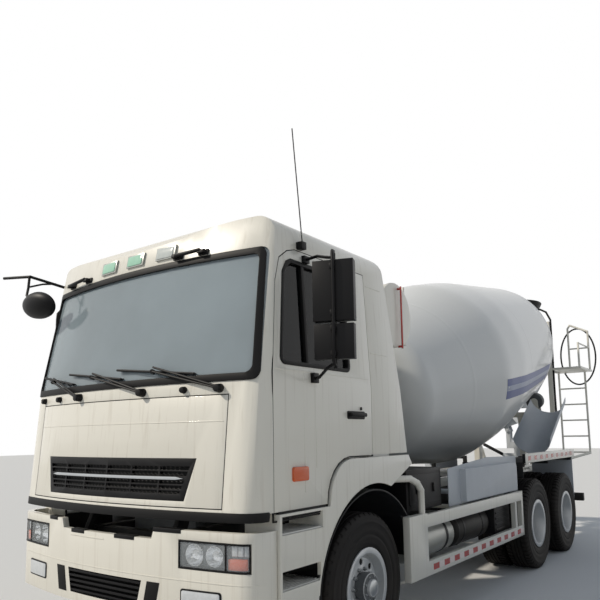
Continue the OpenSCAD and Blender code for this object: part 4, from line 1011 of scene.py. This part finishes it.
class MIXER_OT_face(bpy.types.Operator):
    """Grille mesh, lid seal, trim strip, bumper pads and all front lamps"""

    bl_idname = "mixer.face"
    bl_label = "Front"

    def execute(self, context):
        self.grille()
        self.seals()
        self.bumper()
        self.headlamps()
        return {"FINISHED"}

    def grille(self):
        backing, bars, light = fresh(3)
        opening = [(-0.75, 1.30), (0.75, 1.30), (0.79, 1.50), (-0.79, 1.50)]
        # Black plate behind the grille mesh: painted shade where the inside behind the grille lies in shadow
        plate(backing, opening, -0.0262, -0.0245, on_cab, 0, 0.1)
        for base in MESH_FIELDS:
            honeycomb(bars, base)
        spear = [(-0.7, 1.406), (-0.64, 1.398), (0.64, 1.398), (0.7, 1.406), (0.64, 1.416), (-0.64, 1.416)]
        plate(light, spear, -0.003, 0.004, on_cab, 0.002, 0.1)
        new_object("grille_shade_backing", backing, "lid", "mesh")
        new_object("grille_mesh", bars, "lid", "plastic")
        new_object("grille_bar", light, "lid", "grey")

    def seals(self):
        seal, crease = fresh(2)

        def lid_line(grow):
            half, low, high = LID_HALF + grow, 1.235 - grow, 1.915 + grow
            corners = (-half, low), (half, low), (half, high), (-half, high)
            return [(BOW * math.asin(x / BOW), z) for x, z in corners]

        plate(seal, lid_line(0.006), -0.022, -0.0025, on_cab, 0, 0.1, lid_line(0.0))
        plate(seal, rounded(-1.315, 1.315, 1.158, 1.214, 0.012), -0.012, 0.0045, on_cab, 0.003, 0.04)
        for side in (-1, 1):
            plate(seal, rounded(-1.14, -0.64, 1.158, 1.204, 0.012), -0.02, 0.003, on_flank(side), 0.003)
            plate(seal, door_line(0.009), -0.012, -0.0015, on_flank(side), 0, 0, door_line(0.0005))
        new_object("cab_seals", seal, "cab", "rubber")
        plate(crease, rounded(-0.975, 0.975, 1.752, 1.758, 0.0025), -0.001, 0.0022, on_cab, 0.001, 0.1)
        new_object("lid_crease", crease, "lid", "body")

    def bumper(self):
        pads, slots, lit, crease = fresh(4)
        for left, right, top in ((-0.68, -0.56, 1.1), (-0.36, -0.2, 1.035), (0.13, 0.32, 1.035), (0.49, 0.71, 1.1)):
            plate(pads, rounded(left, right, top - 0.02, top + 0.006, 0.003), -0.044, 0.003, on_bumper, 0.002, 0.1)
        for side in (-1, 1):
            slot = [(0.405, 0.61), (0.51, 0.61), (0.545, 0.775), (0.44, 0.775)]
            plate(slots, mirrored(side, slot), -0.0005, 0.0025, on_bumper, 0.001, 0.1)
            frame_, lens = rounded(0.712, 1.005, 0.648, 0.762, 0.016), rounded(0.722, 0.995, 0.658, 0.752, 0.012)
            plate(pads, mirrored(side, frame_), -0.001, 0.004, on_bumper, 0.002, 0.06)
            plate(lit, mirrored(side, lens), 0.003, 0.008, on_bumper, 0.003, 0.06)
        # Black plate behind the middle slats: painted shade in the opening
        back = [(-0.372, 0.628), (0.372, 0.628), (0.395, 0.768), (-0.395, 0.768)]
        plate(slots, back, -0.052, -0.05, on_bumper, 0, 0.1)
        new_object("bumper_pads", pads, "truck", "plastic")
        new_object("bumper_slots_and_shade", slots, "truck", "mesh")
        new_object("fog_lamps", lit, "truck", "lamp_body")
        plate(crease, rounded(-0.37, 0.02, 0.994, 1.002, 0.003), -0.001, 0.003, on_bumper, 0.001, 0.06)
        plate(crease, rounded(-1.29, 1.29, 0.806, 0.812, 0.0025), -0.001, 0.0025, on_bumper, 0.001, 0.05)
        new_object("bumper_creases", crease, "truck", "body")

    def headlamps(self):
        rims, bowls, covers, amber, backing = fresh(5)
        window = [(0.693, 0.878), (1.192, 0.875), (1.192, 1.039), (0.693, 1.043)]
        inset = [(0.703, 0.887), (1.183, 0.884), (1.183, 1.03), (0.703, 1.034)]
        cover = [(0.704, 0.888), (1.182, 0.885), (1.182, 1.029), (0.704, 1.033)]
        for side in (-1, 1):
            def lay(bm, outline, *shape):
                plate(bm, mirrored(side, outline), *shape)

            lay(rims, window, -0.085, 0.003, on_bumper, 0.002, 0.035, mirrored(side, inset))
            lay(rims, rounded(1.028, 1.037, 0.882, 1.036, 0.002), -0.07, 0.0015, on_bumper, 0.001)
            lay(backing, inset, -0.088, -0.084, on_bumper, 0, 0.035)
            for along, radius in ((0.80, 0.062), (0.945, 0.058)):
                centre = on_bumper(side * along, HEADLAMP_Z, -0.08)
                facing = aim(centre, on_bumper(side * along, HEADLAMP_Z, 0.0))
                bowl = [(0.012, 0.002), (0.03, 0.008), (0.045, 0.02), (radius - 0.004, 0.045), (radius, 0.062)]
                turned(bowls, bowl + [(radius + 0.003, 0.062), (radius + 0.003, 0)], facing, 32)
                turned(bowls, [(0, 0.042), (0.008, 0.04), (0.01, 0.03), (0.01, 0.0), (0, 0)], facing, 16)
            for k in range(3):
                at = 1.062 + 0.045 * k
                lay(backing, rounded(at, at + 0.036, 0.966, 1.026, 0.004), -0.06, -0.02, on_bumper, 0.006)
            lay(amber, rounded(1.042, 1.178, 0.888, 0.952, 0.006), -0.05, -0.012, on_bumper, 0.004, 0.03)
            lay(covers, cover, -0.007, -0.002, on_bumper, 0.001, 0.03)
        obj = new_object("headlamp_covers", covers, "truck", "lamp")
        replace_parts(obj, "headlamps")
        new_object("headlamp_rims", rims, "truck", "plastic", slot="grey_paint")
        new_object("headlamp_bowls", bowls, "truck", "chrome")
        new_object("headlamp_backing", backing, "truck", "lamp_body")
        new_object("turn_lamps", amber, "truck", "amber")


# Step treads: height and rear end, of the upper and the lower step
STEP_TREADS = ((1.0665, -0.705), (0.7415, -0.735))
ARCH_R = 0.765


class MIXER_OT_flanks(bpy.types.Operator):
    """Door window rubbers, handles, indicators, creases and step treads"""

    bl_idname = "mixer.flanks"
    bl_label = "Cab sides"

    def execute(self, context):
        for side, name in ((1, "left"), (-1, "right")):
            door = name + "_door"
            place = on_flank(side)
            rubber, panel, lamp, treads, creases, lip = fresh(6)
            plate(rubber, window_line(0.004), -0.024, 0.004, place, 0.002, 0, window_line(-0.024))
            plate(rubber, rounded(-0.822, -0.79, 2.125, 2.81, 0.002), -0.03, 0.002, place, 0.002)
            plate(rubber, rounded(-0.345, -0.105, 1.772, 1.83, 0.014), -0.001, 0.006, place, 0.003)
            block(rubber, (-0.33, 1.792, 0.02), (-0.12, 1.816, 0.036), 0.006, 2, place)
            for y in (-0.322, -0.128):
                block(rubber, (y - 0.012, 1.79, 0.0), (y + 0.012, 1.818, 0.03), 0.003, 1, place)
            rod(rubber, (-0.155, 1.85, -0.002), (-0.155, 1.85, 0.006), 0.012, 16, place=place)
            new_object(name + "_door_rubber", rubber, door, "rubber")
            for y, low, high in ((-0.86, 1.3, 2.06), (-0.73, 1.45, 2.06)):
                plate(panel, rounded(y - 0.004, y + 0.004, low, high, 0.003), -0.001, 0.0028, place, 0.0012)
            plate(panel, rounded(-1.15, -0.02, 2.072, 2.08, 0.003), -0.001, 0.0025, place, 0.001)
            new_object(name + "_door_creases", panel, door, "body")
            plate(lamp, rounded(-1.0, -0.84, 1.375, 1.465, 0.014), -0.001, 0.018, place, 0.005)
            new_object(name + "_indicator", lamp, door, "amber")
            for high, z in ((0.262, 2.815), (0.29, 2.285)):
                plate(creases, rounded(0.03, high, z - 0.005, z + 0.005, 0.004), -0.001, 0.004, place, 0.002)
            new_object(name + "_side_creases", creases, "cab", "body")
            for low, reach in STEP_TREADS:
                block(treads, (side * 0.965, -1.125, low), (side * 1.232, reach, low + 0.006), 0.001)
                for i in range(11):
                    x = side * (0.975 + 0.025 * i)
                    left, right = sorted((x, x + side * 0.008))
                    block(treads, (left, -1.12, low + 0.005), (right, reach - 0.005, low + 0.011), 0)
            new_object(name + "_step_treads", treads, "truck", "aluminium", 30)
            angles = [math.radians(a) for a in range(72, 173, 4)]
            hub = sizes().tyre_r
            tube(lip, [(side * 1.238, ARCH_R * math.cos(a), hub + ARCH_R * math.sin(a)) for a in angles], 0.006, 8)
            new_object(name + "_arch_lip", lip, "truck", "body", 50)
        return {"FINISHED"}


class MIXER_OT_mirrors(bpy.types.Operator):
    """Silvered glass in the mirror housings, their arms and the kerb mirror"""

    bl_idname = "mixer.mirrors"
    bl_label = "Mirrors"

    def execute(self, context):
        for side, name in ((1, "left"), (-1, "right")):
            glass, arm = fresh(2)
            back = Matrix.Translation((side * 1.485, -0.885, 0)) @ Matrix.Rotation(math.radians(side * 20), 4, "Z")
            for wide, depth, low, high in ((0.116, 0.038, 2.39, 2.744), (0.112, 0.032, 2.146, 2.336)):
                stand = lambda u, v, w, depth=depth: back @ Vector((u, depth + w, v))
                plate(glass, rounded(-wide, wide, low, high, 0.02), -0.001, 0.0025, stand, 0.001)
            new_object(name + "_mirror_glass", glass, name + "_door", "mirror")
            line = [
                (0.0, 0.0, 2.826), (0.0, -0.03, 2.822), (0.004, -0.052, 2.795), (0.006, -0.056, 2.74),
                (0.006, -0.056, 2.5), (0.004, -0.056, 2.3), (0.0, -0.054, 2.14), (0.0, -0.03, 2.096), (0.0, 0.0, 2.088),
            ]
            tube(arm, [back @ Vector(p) for p in line], 0.0115, 12)
            for z in (2.72, 2.42, 2.32, 2.16):
                block(arm, (-0.018, -0.058, z - 0.018), (0.018, -0.028, z + 0.018), 0.005, 2, matrix=back)
            new_object(name + "_mirror_arm", arm, name + "_door", "plastic")
        shell, disc = fresh(2)
        hang = Matrix.Translation((-1.15, -1.33, 2.76)) @ Matrix.Rotation(math.radians(118), 4, "X")
        hang = hang @ Matrix.Diagonal((1.5, 0.8, 1, 1))
        bowl = [(0, 0.07), (0.05, 0.066), (0.1, 0.05), (0.13, 0.028), (0.142, 0.004), (0.142, -0.012)]
        turned(shell, bowl + [(0.136, -0.016), (0, -0.016)], hang, 40)
        turned(disc, [(0, -0.022), (0.08, -0.021), (0.125, -0.0165), (0.128, -0.015), (0, -0.015)], hang, 40)
        stem = [(-1.31, -1.33, 3.03), (-1.305, -1.34, 2.93), (-1.29, -1.36, 2.86), (-1.19, -1.36, 2.81)]
        tube(shell, stem, 0.011, 10)
        tube(shell, [(-1.2, -1.15, 2.985), (-1.24, -1.25, 2.97), (-1.305, -1.335, 2.94)], 0.008, 8)
        new_object("kerb_mirror_shell", shell, "cab", "plastic")
        new_object("kerb_mirror_glass", disc, "cab", "mirror")
        return {"FINISHED"}


def bands(bm, matrix, radius, places, width=0.04, rise=0.004):
    """Straps round a tank about local z."""
    foot, top = radius - 0.002, radius + rise
    for at in places:
        low, high = at - width / 2, at + width / 2
        turned(bm, [(foot, low), (top, low + 0.002), (top, high - 0.002), (foot, high)], matrix, 40, closed=True)


def dome(bm, matrix, radius, depth, steps=40):
    """Pressed tank end whose local z points outwards."""
    line = [(radius, -0.004), (radius, 0.0)]
    for i in range(1, 7):
        angle = math.radians(90 * i / 6)
        line.append((radius * math.cos(angle), depth * math.sin(angle)))
    turned(bm, line + [(0, -0.004)], matrix, steps)


# Air tanks on the left: their y, distance from the middle, height, radius and half their length
AIR_TANKS = (1.33, 2.26)
AIR_X, AIR_Z, AIR_R, AIR_HALF = 0.93, 0.7, 0.165, 0.4
# Water tank across the truck: its y, height, radius and half its length
WATER_Y, WATER_Z, WATER_R, WATER_HALF = 0.96, 2.75, 0.3, 0.95
# Right upper corner of the fuel tank's section, mirrored round its middle
FUEL_CORNER = ((0.29, 0.15), (0.284, 0.185), (0.265, 0.208), (0.23, 0.21))
CLEANER = (-0.76, 1.0, 1.13)
CLEANER_R = 0.18
LEVEL_Y = 0.996
RAIL_SIDE = 0.43


class MIXER_OT_equipment(bpy.types.Operator):
    """Guard rail marks, tank straps and ends, level tube, box lids and frame bolts"""

    bl_idname = "mixer.equipment"
    bl_label = "Equipment"

    def execute(self, context):
        self.marks()
        self.tanks()
        self.boxes()
        self.bolts()
        return {"FINISHED"}

    def marks(self):
        red, pale, white = fresh(3)

        def row(place, starts, length, end, low, high, depth, top):
            for y in starts:
                plate(red, rounded(y, y + length, low, high, 0.003), depth, top, place, 0)
                plate(pale, rounded(y + length + 0.002, y + end, low, high, 0.003), depth, top, place, 0)

        for side in (1, -1):
            starts = [0.98 + 0.225 * i for i in range(11)]
            row(on_guard(side, 1.222), starts, 0.115, 0.222, 0.503, 0.553, -0.0003, 0.0014)
            fender = on_guard(side, 1.24)
            rail = [(3.612, 1.2895), (5.978, 1.2895), (5.978, 1.4), (3.612, 1.4)]
            plate(white, rail, -0.0003, 0.003, fender, 0.0012)
            block(white, (side * 1.2052, 3.612, 1.3995), (side * 1.243, 5.978, 1.4025), 0.001)
            row(fender, [3.72 + 0.25 * i for i in range(9)], 0.1, 0.2, 1.318, 1.37, 0.0028, 0.0042)
        new_object("red_marks", red, "truck", "red")
        new_object("pale_marks", pale, "truck", "pale")
        new_object("fender_rail", white, "truck", "body")

    def tanks(self):
        straps, first, second, tank, level = fresh(5)
        for y, ends in zip(AIR_TANKS, (first, second)):
            centre = Matrix.Translation((AIR_X, y, AIR_Z))
            for turn_ in (-90, 90):
                out = centre @ Matrix.Rotation(math.radians(turn_), 4, "X")
                dome(ends, out @ Matrix.Translation((0, 0, AIR_HALF)), AIR_R, 0.05)
            ahead = centre @ Matrix.Rotation(math.radians(-90), 4, "X")
            bands(straps, ahead, AIR_R, (-0.25, 0.25), 0.045)
            bands(ends, ahead, AIR_R, (-0.39, 0.39), 0.02, 0.0025)
            rod(straps, (AIR_X, y - 0.1, 0.54), (AIR_X, y - 0.1, 0.515), 0.014, 12)
        for y in (1.25, 2.05):
            right = [*FUEL_CORNER]
            ring = right + [(-x, z) for x, z in reversed(right)] + [(-x, -z) for x, z in right]
            ring += [(x, -z) for x, z in reversed(right)]
            stand = lambda u, v, w, y=y: Vector((-0.82 + u, y + w, 0.66 + v))
            grown = [(x * 1.014, z * 1.02) for x, z in ring]
            plate(straps, grown, -0.022, 0.022, stand, 0, 0, [(x * 0.998, z * 0.998) for x, z in ring])
        filler = [(0, 0.05), (0.05, 0.05), (0.055, 0.044), (0.055, 0.0), (0, 0)]
        turned(straps, filler, Matrix.Translation((-0.9, 1.12, 0.868)), 24)
        new_object("tank_straps", straps, "truck", "plastic")
        new_object("tank_ends", first, "truck", "silver")
        new_object("second_tank_ends", second, "truck", "frame")

        for side in (1, -1):
            out = sideways(side, WATER_HALF, WATER_Y, WATER_Z)
            dome(tank, out, WATER_R, 0.012, 64)
            bands(tank, out, WATER_R, (-0.02, -0.52, -1.38), 0.016, 0.003)
        lid = [(0, 0.06), (0.09, 0.06), (0.1, 0.05), (0.1, 0.0), (0, 0)]
        turned(tank, lid, Matrix.Translation((0.3, WATER_Y, 3.04)), 32)
        new_object("water_tank_trim", tank, "truck", "body")
        rod(level, (0.99, LEVEL_Y, 2.44), (0.99, LEVEL_Y, 3.02), 0.009, 12)
        for z in (2.46, 3.0):
            rod(level, (WATER_HALF, LEVEL_Y, z), (0.99, LEVEL_Y, z), 0.011, 12)
        new_object("level_tube", level, "truck", "red")

    def boxes(self):
        boxes = bmesh.new()
        for z in (0.60, 0.66, 0.72, 0.78):
            plate(boxes, rounded(2.79, 3.22, z - 0.012, z + 0.012, 0.008), -0.001, 0.008, on_guard(1, 1.13), 0.003)
        plate(boxes, rounded(0.76, 1.38, 1.04, 1.31, 0.03), -0.001, 0.01, on_guard(1, 1.12), 0.004)
        for y in (0.9, 1.24):
            plate(boxes, rounded(y - 0.02, y + 0.02, 1.14, 1.22, 0.006), 0.008, 0.022, on_guard(1, 1.12), 0.003)
        cleaner = Matrix.Translation(CLEANER)
        bands(boxes, cleaner, CLEANER_R, (0.12, 0.38, 0.66), 0.03, 0.006)
        turned(boxes, [(0, 0.76), (0.12, 0.752), (0.172, 0.735), (CLEANER_R, 0.718), (0, 0.718)], cleaner, 40)
        for i in range(24):
            angle = math.tau * i / 24
            at = Matrix.Translation((CLEANER_R * math.cos(angle), CLEANER_R * math.sin(angle), 0))
            facing = cleaner @ at @ Matrix.Rotation(angle + math.pi / 2, 4, "Z")
            block(boxes, (-0.008, -0.004, 0.44), (0.008, 0.006, 0.6), 0, matrix=facing)
        new_object("box_trim", boxes, "truck", "plastic")

    def bolts(self):
        bolts = bmesh.new()

        def bolt(side, y, z, radius, depth):
            piece = bmesh.new()
            bmesh.ops.create_cone(
                piece, cap_ends=True, segments=6, radius1=radius, radius2=radius - 0.001, depth=depth
            )
            join(bolts, piece, matrix=sideways(side, RAIL_SIDE, y, z))

        for side in (1, -1):
            for i in range(44):
                for z in (0.79, 0.97):
                    bolt(side, 0.7 + 0.13 * i, z, 0.012, 0.01)
            for y in (1.33, 1.5, 1.67, 6.2, 6.3, 6.4):
                bolt(side, y, 1.08, 0.016, 0.012)
        new_object("frame_bolts", bolts, "truck", "frame")


# Rear face of the protection bar's lamps behind the second rear axle, the hopper's middle behind the drum's
# mouth, and the coiled hose: its middle, half its width and half its height
LAMP_FACE = 1.515
HOPPER_BACK = 0.4
COIL = (1.0, 7.759, 2.99)
COIL_WIDE, COIL_HIGH = 0.29, 0.5


class MIXER_OT_rear(bpy.types.Operator):
    """Hopper lip, platform treads, tail lamps, gearbox bolts, drive hoses and the coiled hose"""

    bl_idname = "mixer.rear"
    bl_label = "Rear"

    def execute(self, context):
        s = sizes()
        lip, platform, red, amber, clear, caps, pipes, coil = fresh(8)
        mouth = drum_axis() @ Vector((0, 0, MOUTH))
        ring = [
            (0.455, 0.51), (0.461, 0.508), (0.568, 0.712), (0.572, 0.726), (0.566, 0.735), (0.552, 0.732),
            (0.545, 0.722), (0.55, 0.716),
        ]
        turned(lip, ring, Matrix.Translation((0, mouth.y + HOPPER_BACK, mouth.z)), 72, closed=True)
        new_object("hopper_lip", lip, "truck", "rubber")

        last_axle = s.wheelbase + s.tandem
        for i in range(9):
            x = 0.79 + 0.05 * i
            block(platform, (x, mouth.y + 0.18, 2.7345), (x + 0.022, last_axle + 2.35, 2.7385), 0)
        new_object("platform_treads", platform, "truck", "aluminium")

        rear = last_axle + LAMP_FACE
        back = lambda u, v, w: Vector((u, rear + w, v))
        for side in (1, -1):
            for bm, left, right in ((red, 0.815, 0.925), (amber, 0.932, 1.03), (clear, 1.037, 1.125)):
                plate(bm, mirrored(side, rounded(left, right, 0.58, 0.66, 0.01)), -0.001, 0.009, back, 0.004)
        face = lambda u, v, w: Vector((u, rear - 0.05 + w, v))
        for i in range(7):
            x = -0.74 + 0.215 * i
            plate(red, rounded(x, x + 0.1, 0.595, 0.645, 0.003), -0.0003, 0.0014, face, 0)
            plate(clear, rounded(x + 0.102, x + 0.2, 0.595, 0.645, 0.003), -0.0003, 0.0014, face, 0)
        new_object("tail_lamps_red", red, "truck", "red")
        new_object("tail_lamps_amber", amber, "truck", "amber", slot="red_lamp")
        new_object("tail_lamps_clear", clear, "truck", "pale", slot="red_lamp")

        gear = drum_axis()
        nuts(caps, gear @ Matrix.Translation((0, 0, -1.58)), 0.265, 0, 16, 0.011, False)
        nuts(caps, gear @ Matrix.Translation((0, 0, -1.36)), 0.2, 0, 12, 0.012, False)
        for side in (1, -1):
            nuts(caps, Matrix.Translation((side * 0.395, 1.5, 1.64)), 0.028, 0, 4, 0.008, False)
        new_object("gear_bolts", caps, "truck", "zinc", slot="cast_metal")

        bends = ((0.1, 1.12, 1.9), (0.16, 1.0, 1.82), (0.2, 0.96, 1.6), (0.22, 1.0, 1.3), (0.24, 1.1, 1.1))
        for shift in (0.0, 0.05):
            tube(pipes, [(x + shift, y, z) for x, y, z in bends], 0.016, 8)
        new_object("drive_hoses", pipes, "truck", "rubber", 50)
        x, y, z = COIL
        angles = [math.tau * i / 48 for i in range(50)]
        tube(coil, [(x + COIL_WIDE * math.cos(a), y, z + COIL_HIGH * math.sin(a)) for a in angles], 0.014, 10)
        new_object("hose_loop", coil, "truck", "rubber", 50)
        return {"FINISHED"}


# Shape of a cushion: how squarely it swells, its thickness at the rim as a share of that in the middle, and
# how far its sides are pulled in between the corners
ROUNDNESS = 2.4
RIM_SHARE = 0.72
PULL = 0.05


def cushion(name, low, high, crown, body):
    """Foam cushion under cloth: crowned faces, sides drawn in between the corners and stitched channels sunk across its
    faces.
    """
    bm = bmesh.new()
    bmesh.ops.create_cube(bm, size=1)
    bmesh.ops.subdivide_edges(bm, edges=bm.edges[:], cuts=7, use_grid_fill=True)
    span = Vector([b - a for a, b in zip(low, high)])
    middle = Vector([(a + b) / 2 for a, b in zip(low, high)])
    thin = min(range(3), key=lambda axis: span[axis])
    wide = [axis for axis in range(3) if axis != thin]
    for vert in bm.verts:
        p = vert.co * 2
        a, b = wide
        swell = (1 - abs(p[a]) ** ROUNDNESS) * (1 - abs(p[b]) ** ROUNDNESS)
        shape = Vector(p)
        shape[thin] = p[thin] * (RIM_SHARE + (1 - RIM_SHARE) * swell)
        for axis, other in ((a, b), (b, a)):
            if abs(p[axis]) > 0.98:
                shape[axis] = p[axis] * (1 - PULL * (1 - p[other] ** 2))
        channel = min(abs(abs(p[a]) - 0.5), abs(p[a]))
        if channel < 0.02 and abs(p[thin]) > 0.98 and abs(p[b]) < 0.9:
            shape[thin] *= 1 - crown
        vert.co = middle + Vector([shape[i] * span[i] / 2 for i in range(3)])
    bmesh.ops.smooth_vert(bm, verts=bm.verts, factor=0.35, use_axis_x=True, use_axis_y=True, use_axis_z=True)
    obj = new_object(name, bm, body, "seat", 60)
    rounding = obj.modifiers.new("rounding", "SUBSURF")
    rounding.levels = rounding.render_levels = 1
    return obj


class MIXER_OT_cabin(bpy.types.Operator):
    """Padded seats on their feet, gauges and the sun visors"""

    bl_idname = "mixer.cabin"
    bl_label = "Cabin"

    def execute(self, context):
        feet = bmesh.new()
        for x, name in ((0.56, "driver"), (-0.56, "mate")):
            obj = cushion(name + "_seat", (x - 0.23, -0.42, 1.605), (x + 0.23, 0.0, 1.76), 0.12, "cab")
            if x > 0:
                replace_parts(obj, "seats")
            cushion(name + "_back", (x - 0.23, -0.1, 1.765), (x + 0.23, 0.02, 2.345), 0.12, "cab")
            cushion(name + "_headrest", (x - 0.13, -0.09, 2.36), (x + 0.13, 0.0, 2.555), 0.0, "cab")
            for reach in (-0.06, 0.06):
                rod(feet, (x + reach, -0.045, 2.33), (x + reach, -0.045, 2.38), 0.007, 10)
            block(feet, (x - 0.15, -0.3, 1.5605), (x + 0.15, -0.02, 1.603), 0.01, 2)
            for reach in (-0.2, 0.2):
                block(feet, (x + reach - 0.02, -0.36, 1.58), (x + reach + 0.02, 0.0, 1.607), 0.004)
        new_object("seat_feet", feet, "cab", "plastic", slot="seat_fabric")

        trim = bmesh.new()
        for x in (-0.55, 0.55):
            block(trim, (x - 0.3, -1.08, 2.76), (x + 0.3, -1.055, 2.9), 0.008, 2)
        block(trim, (0.34, -1.02, 2.04), (0.78, -0.9, 2.16), 0.03, 3)
        for x in (0.45, 0.56, 0.67):
            gauge = [(0.0, 0.004), (0.036, 0.004), (0.04, 0.0), (0.044, 0.008), (0.046, 0.008), (0.046, -0.002)]
            facing = Matrix.Translation((x, -0.9, 2.1)) @ Matrix.Rotation(math.radians(-90), 4, "X")
            turned(trim, gauge + [(0, -0.002)], facing, 24)
        new_object("dash_trim", trim, "cab", "inside")
        return {"FINISHED"}


# Light from all round the sky, and the sun's strength, width and turn in degrees
SKY = "#ccd8e8"
SKY_STRENGTH = 0.41
SUN = "#fff6e8"
SUN_STRENGTH = 2.5
SUN_WIDE = 3
SUN_TURN = (52, 0, -42)
FLOOR_SIZE = 60
FILM_WIDTH = 36


class MIXER_OT_stage(bpy.types.Operator):
    """Sets floor, backdrop, lights and camera"""

    bl_idname = "mixer.stage"
    bl_label = "Stage"

    def execute(self, context):
        s = sizes()
        scene = context.scene
        scene.view_settings.view_transform = "Standard"
        bm = bmesh.new()
        bmesh.ops.create_grid(bm, x_segments=1, y_segments=1, size=FLOOR_SIZE)
        mesh = bpy.data.meshes.new("floor")
        bm.to_mesh(mesh)
        bm.free()
        floor = bpy.data.objects.new("floor", mesh)
        context.collection.objects.link(floor)
        # Poured pale concrete: dull and even
        mesh.materials.append(new_finish("pale poured floor", linear("#e4e4e2"), 0.9))

        world = bpy.data.worlds.new("white room")
        scene.world = world
        world.use_nodes = True
        tree = world.node_tree
        tree.nodes.clear()
        path = add(tree, "ShaderNodeLightPath")
        seen = path.outputs["Is Camera Ray"]
        for ray in ("Is Glossy Ray", "Is Transmission Ray"):
            either = {0: seen, 1: path.outputs[ray]}
            seen = add(tree, "ShaderNodeMath", {"operation": "MAXIMUM"}, None, either).outputs["Value"]
        blue = {"Color": (*linear(SKY), 1), "Strength": SKY_STRENGTH}
        sky = add(tree, "ShaderNodeBackground", None, blue).outputs["Background"]
        white = add(tree, "ShaderNodeBackground", None, {"Color": (1, 1, 1, 1), "Strength": 1.0}).outputs["Background"]
        mix = add(tree, "ShaderNodeMixShader", None, None, {"Fac": seen, 1: sky, 2: white})
        add(tree, "ShaderNodeOutputWorld", links={"Surface": mix.outputs["Shader"]})

        sun = bpy.data.lights.new("sun", "SUN")
        sun.energy = SUN_STRENGTH
        sun.angle = math.radians(SUN_WIDE)
        sun.color = linear(SUN)
        lamp = bpy.data.objects.new("sun", sun)
        lamp.rotation_euler = [math.radians(angle) for angle in SUN_TURN]
        context.collection.objects.link(lamp)

        camera = bpy.data.objects.new("camera", bpy.data.cameras.new("camera"))
        camera.data.lens = s.lens
        camera.data.sensor_width = FILM_WIDTH
        camera.data.shift_y = s.shift
        camera.matrix_world = (
            Matrix.Translation((s.eye_x, s.eye_y - s.mid_y, s.eye_z))
            @ Matrix.Rotation(s.yaw, 4, "Z")
            @ Matrix.Rotation(math.pi / 2 + s.pitch, 4, "X")
            @ Matrix.Rotation(s.roll, 4, "Z")
        )
        context.collection.objects.link(camera)
        scene.camera = camera
        return {"FINISHED"}


class MIXER_PT_panel(bpy.types.Panel):
    """Buttons for the pieces and the stage"""

    bl_idname = "MIXER_PT_panel"
    bl_label = "Mixer truck"
    bl_space_type = "VIEW_3D"
    bl_region_type = "UI"
    bl_category = "Mixer"

    def draw(self, context):
        for step in STEPS:
            self.layout.operator(step.bl_idname)


STEPS = (
    MIXER_OT_parts,
    MIXER_OT_wheels,
    MIXER_OT_drum,
    MIXER_OT_screen,
    MIXER_OT_face,
    MIXER_OT_flanks,
    MIXER_OT_mirrors,
    MIXER_OT_equipment,
    MIXER_OT_rear,
    MIXER_OT_cabin,
    MIXER_OT_stage,
)
CLASSES = (MixerColours, MixerSizes, *STEPS, MIXER_PT_panel)


def register():
    for cls in CLASSES:
        bpy.utils.register_class(cls)
    bpy.types.Scene.mixer_colours = PointerProperty(type=MixerColours)
    bpy.types.Scene.mixer_sizes = PointerProperty(type=MixerSizes)


def unregister():
    del bpy.types.Scene.mixer_sizes
    del bpy.types.Scene.mixer_colours
    for cls in reversed(CLASSES):
        bpy.utils.unregister_class(cls)


def main():
    register()
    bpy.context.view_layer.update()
    finishes.update(make_materials(bpy.context.scene.mixer_colours))
    for step in STEPS:
        area, name = step.bl_idname.split(".")
        getattr(getattr(bpy.ops, area), name)()


if __name__ == "__main__":
    main()
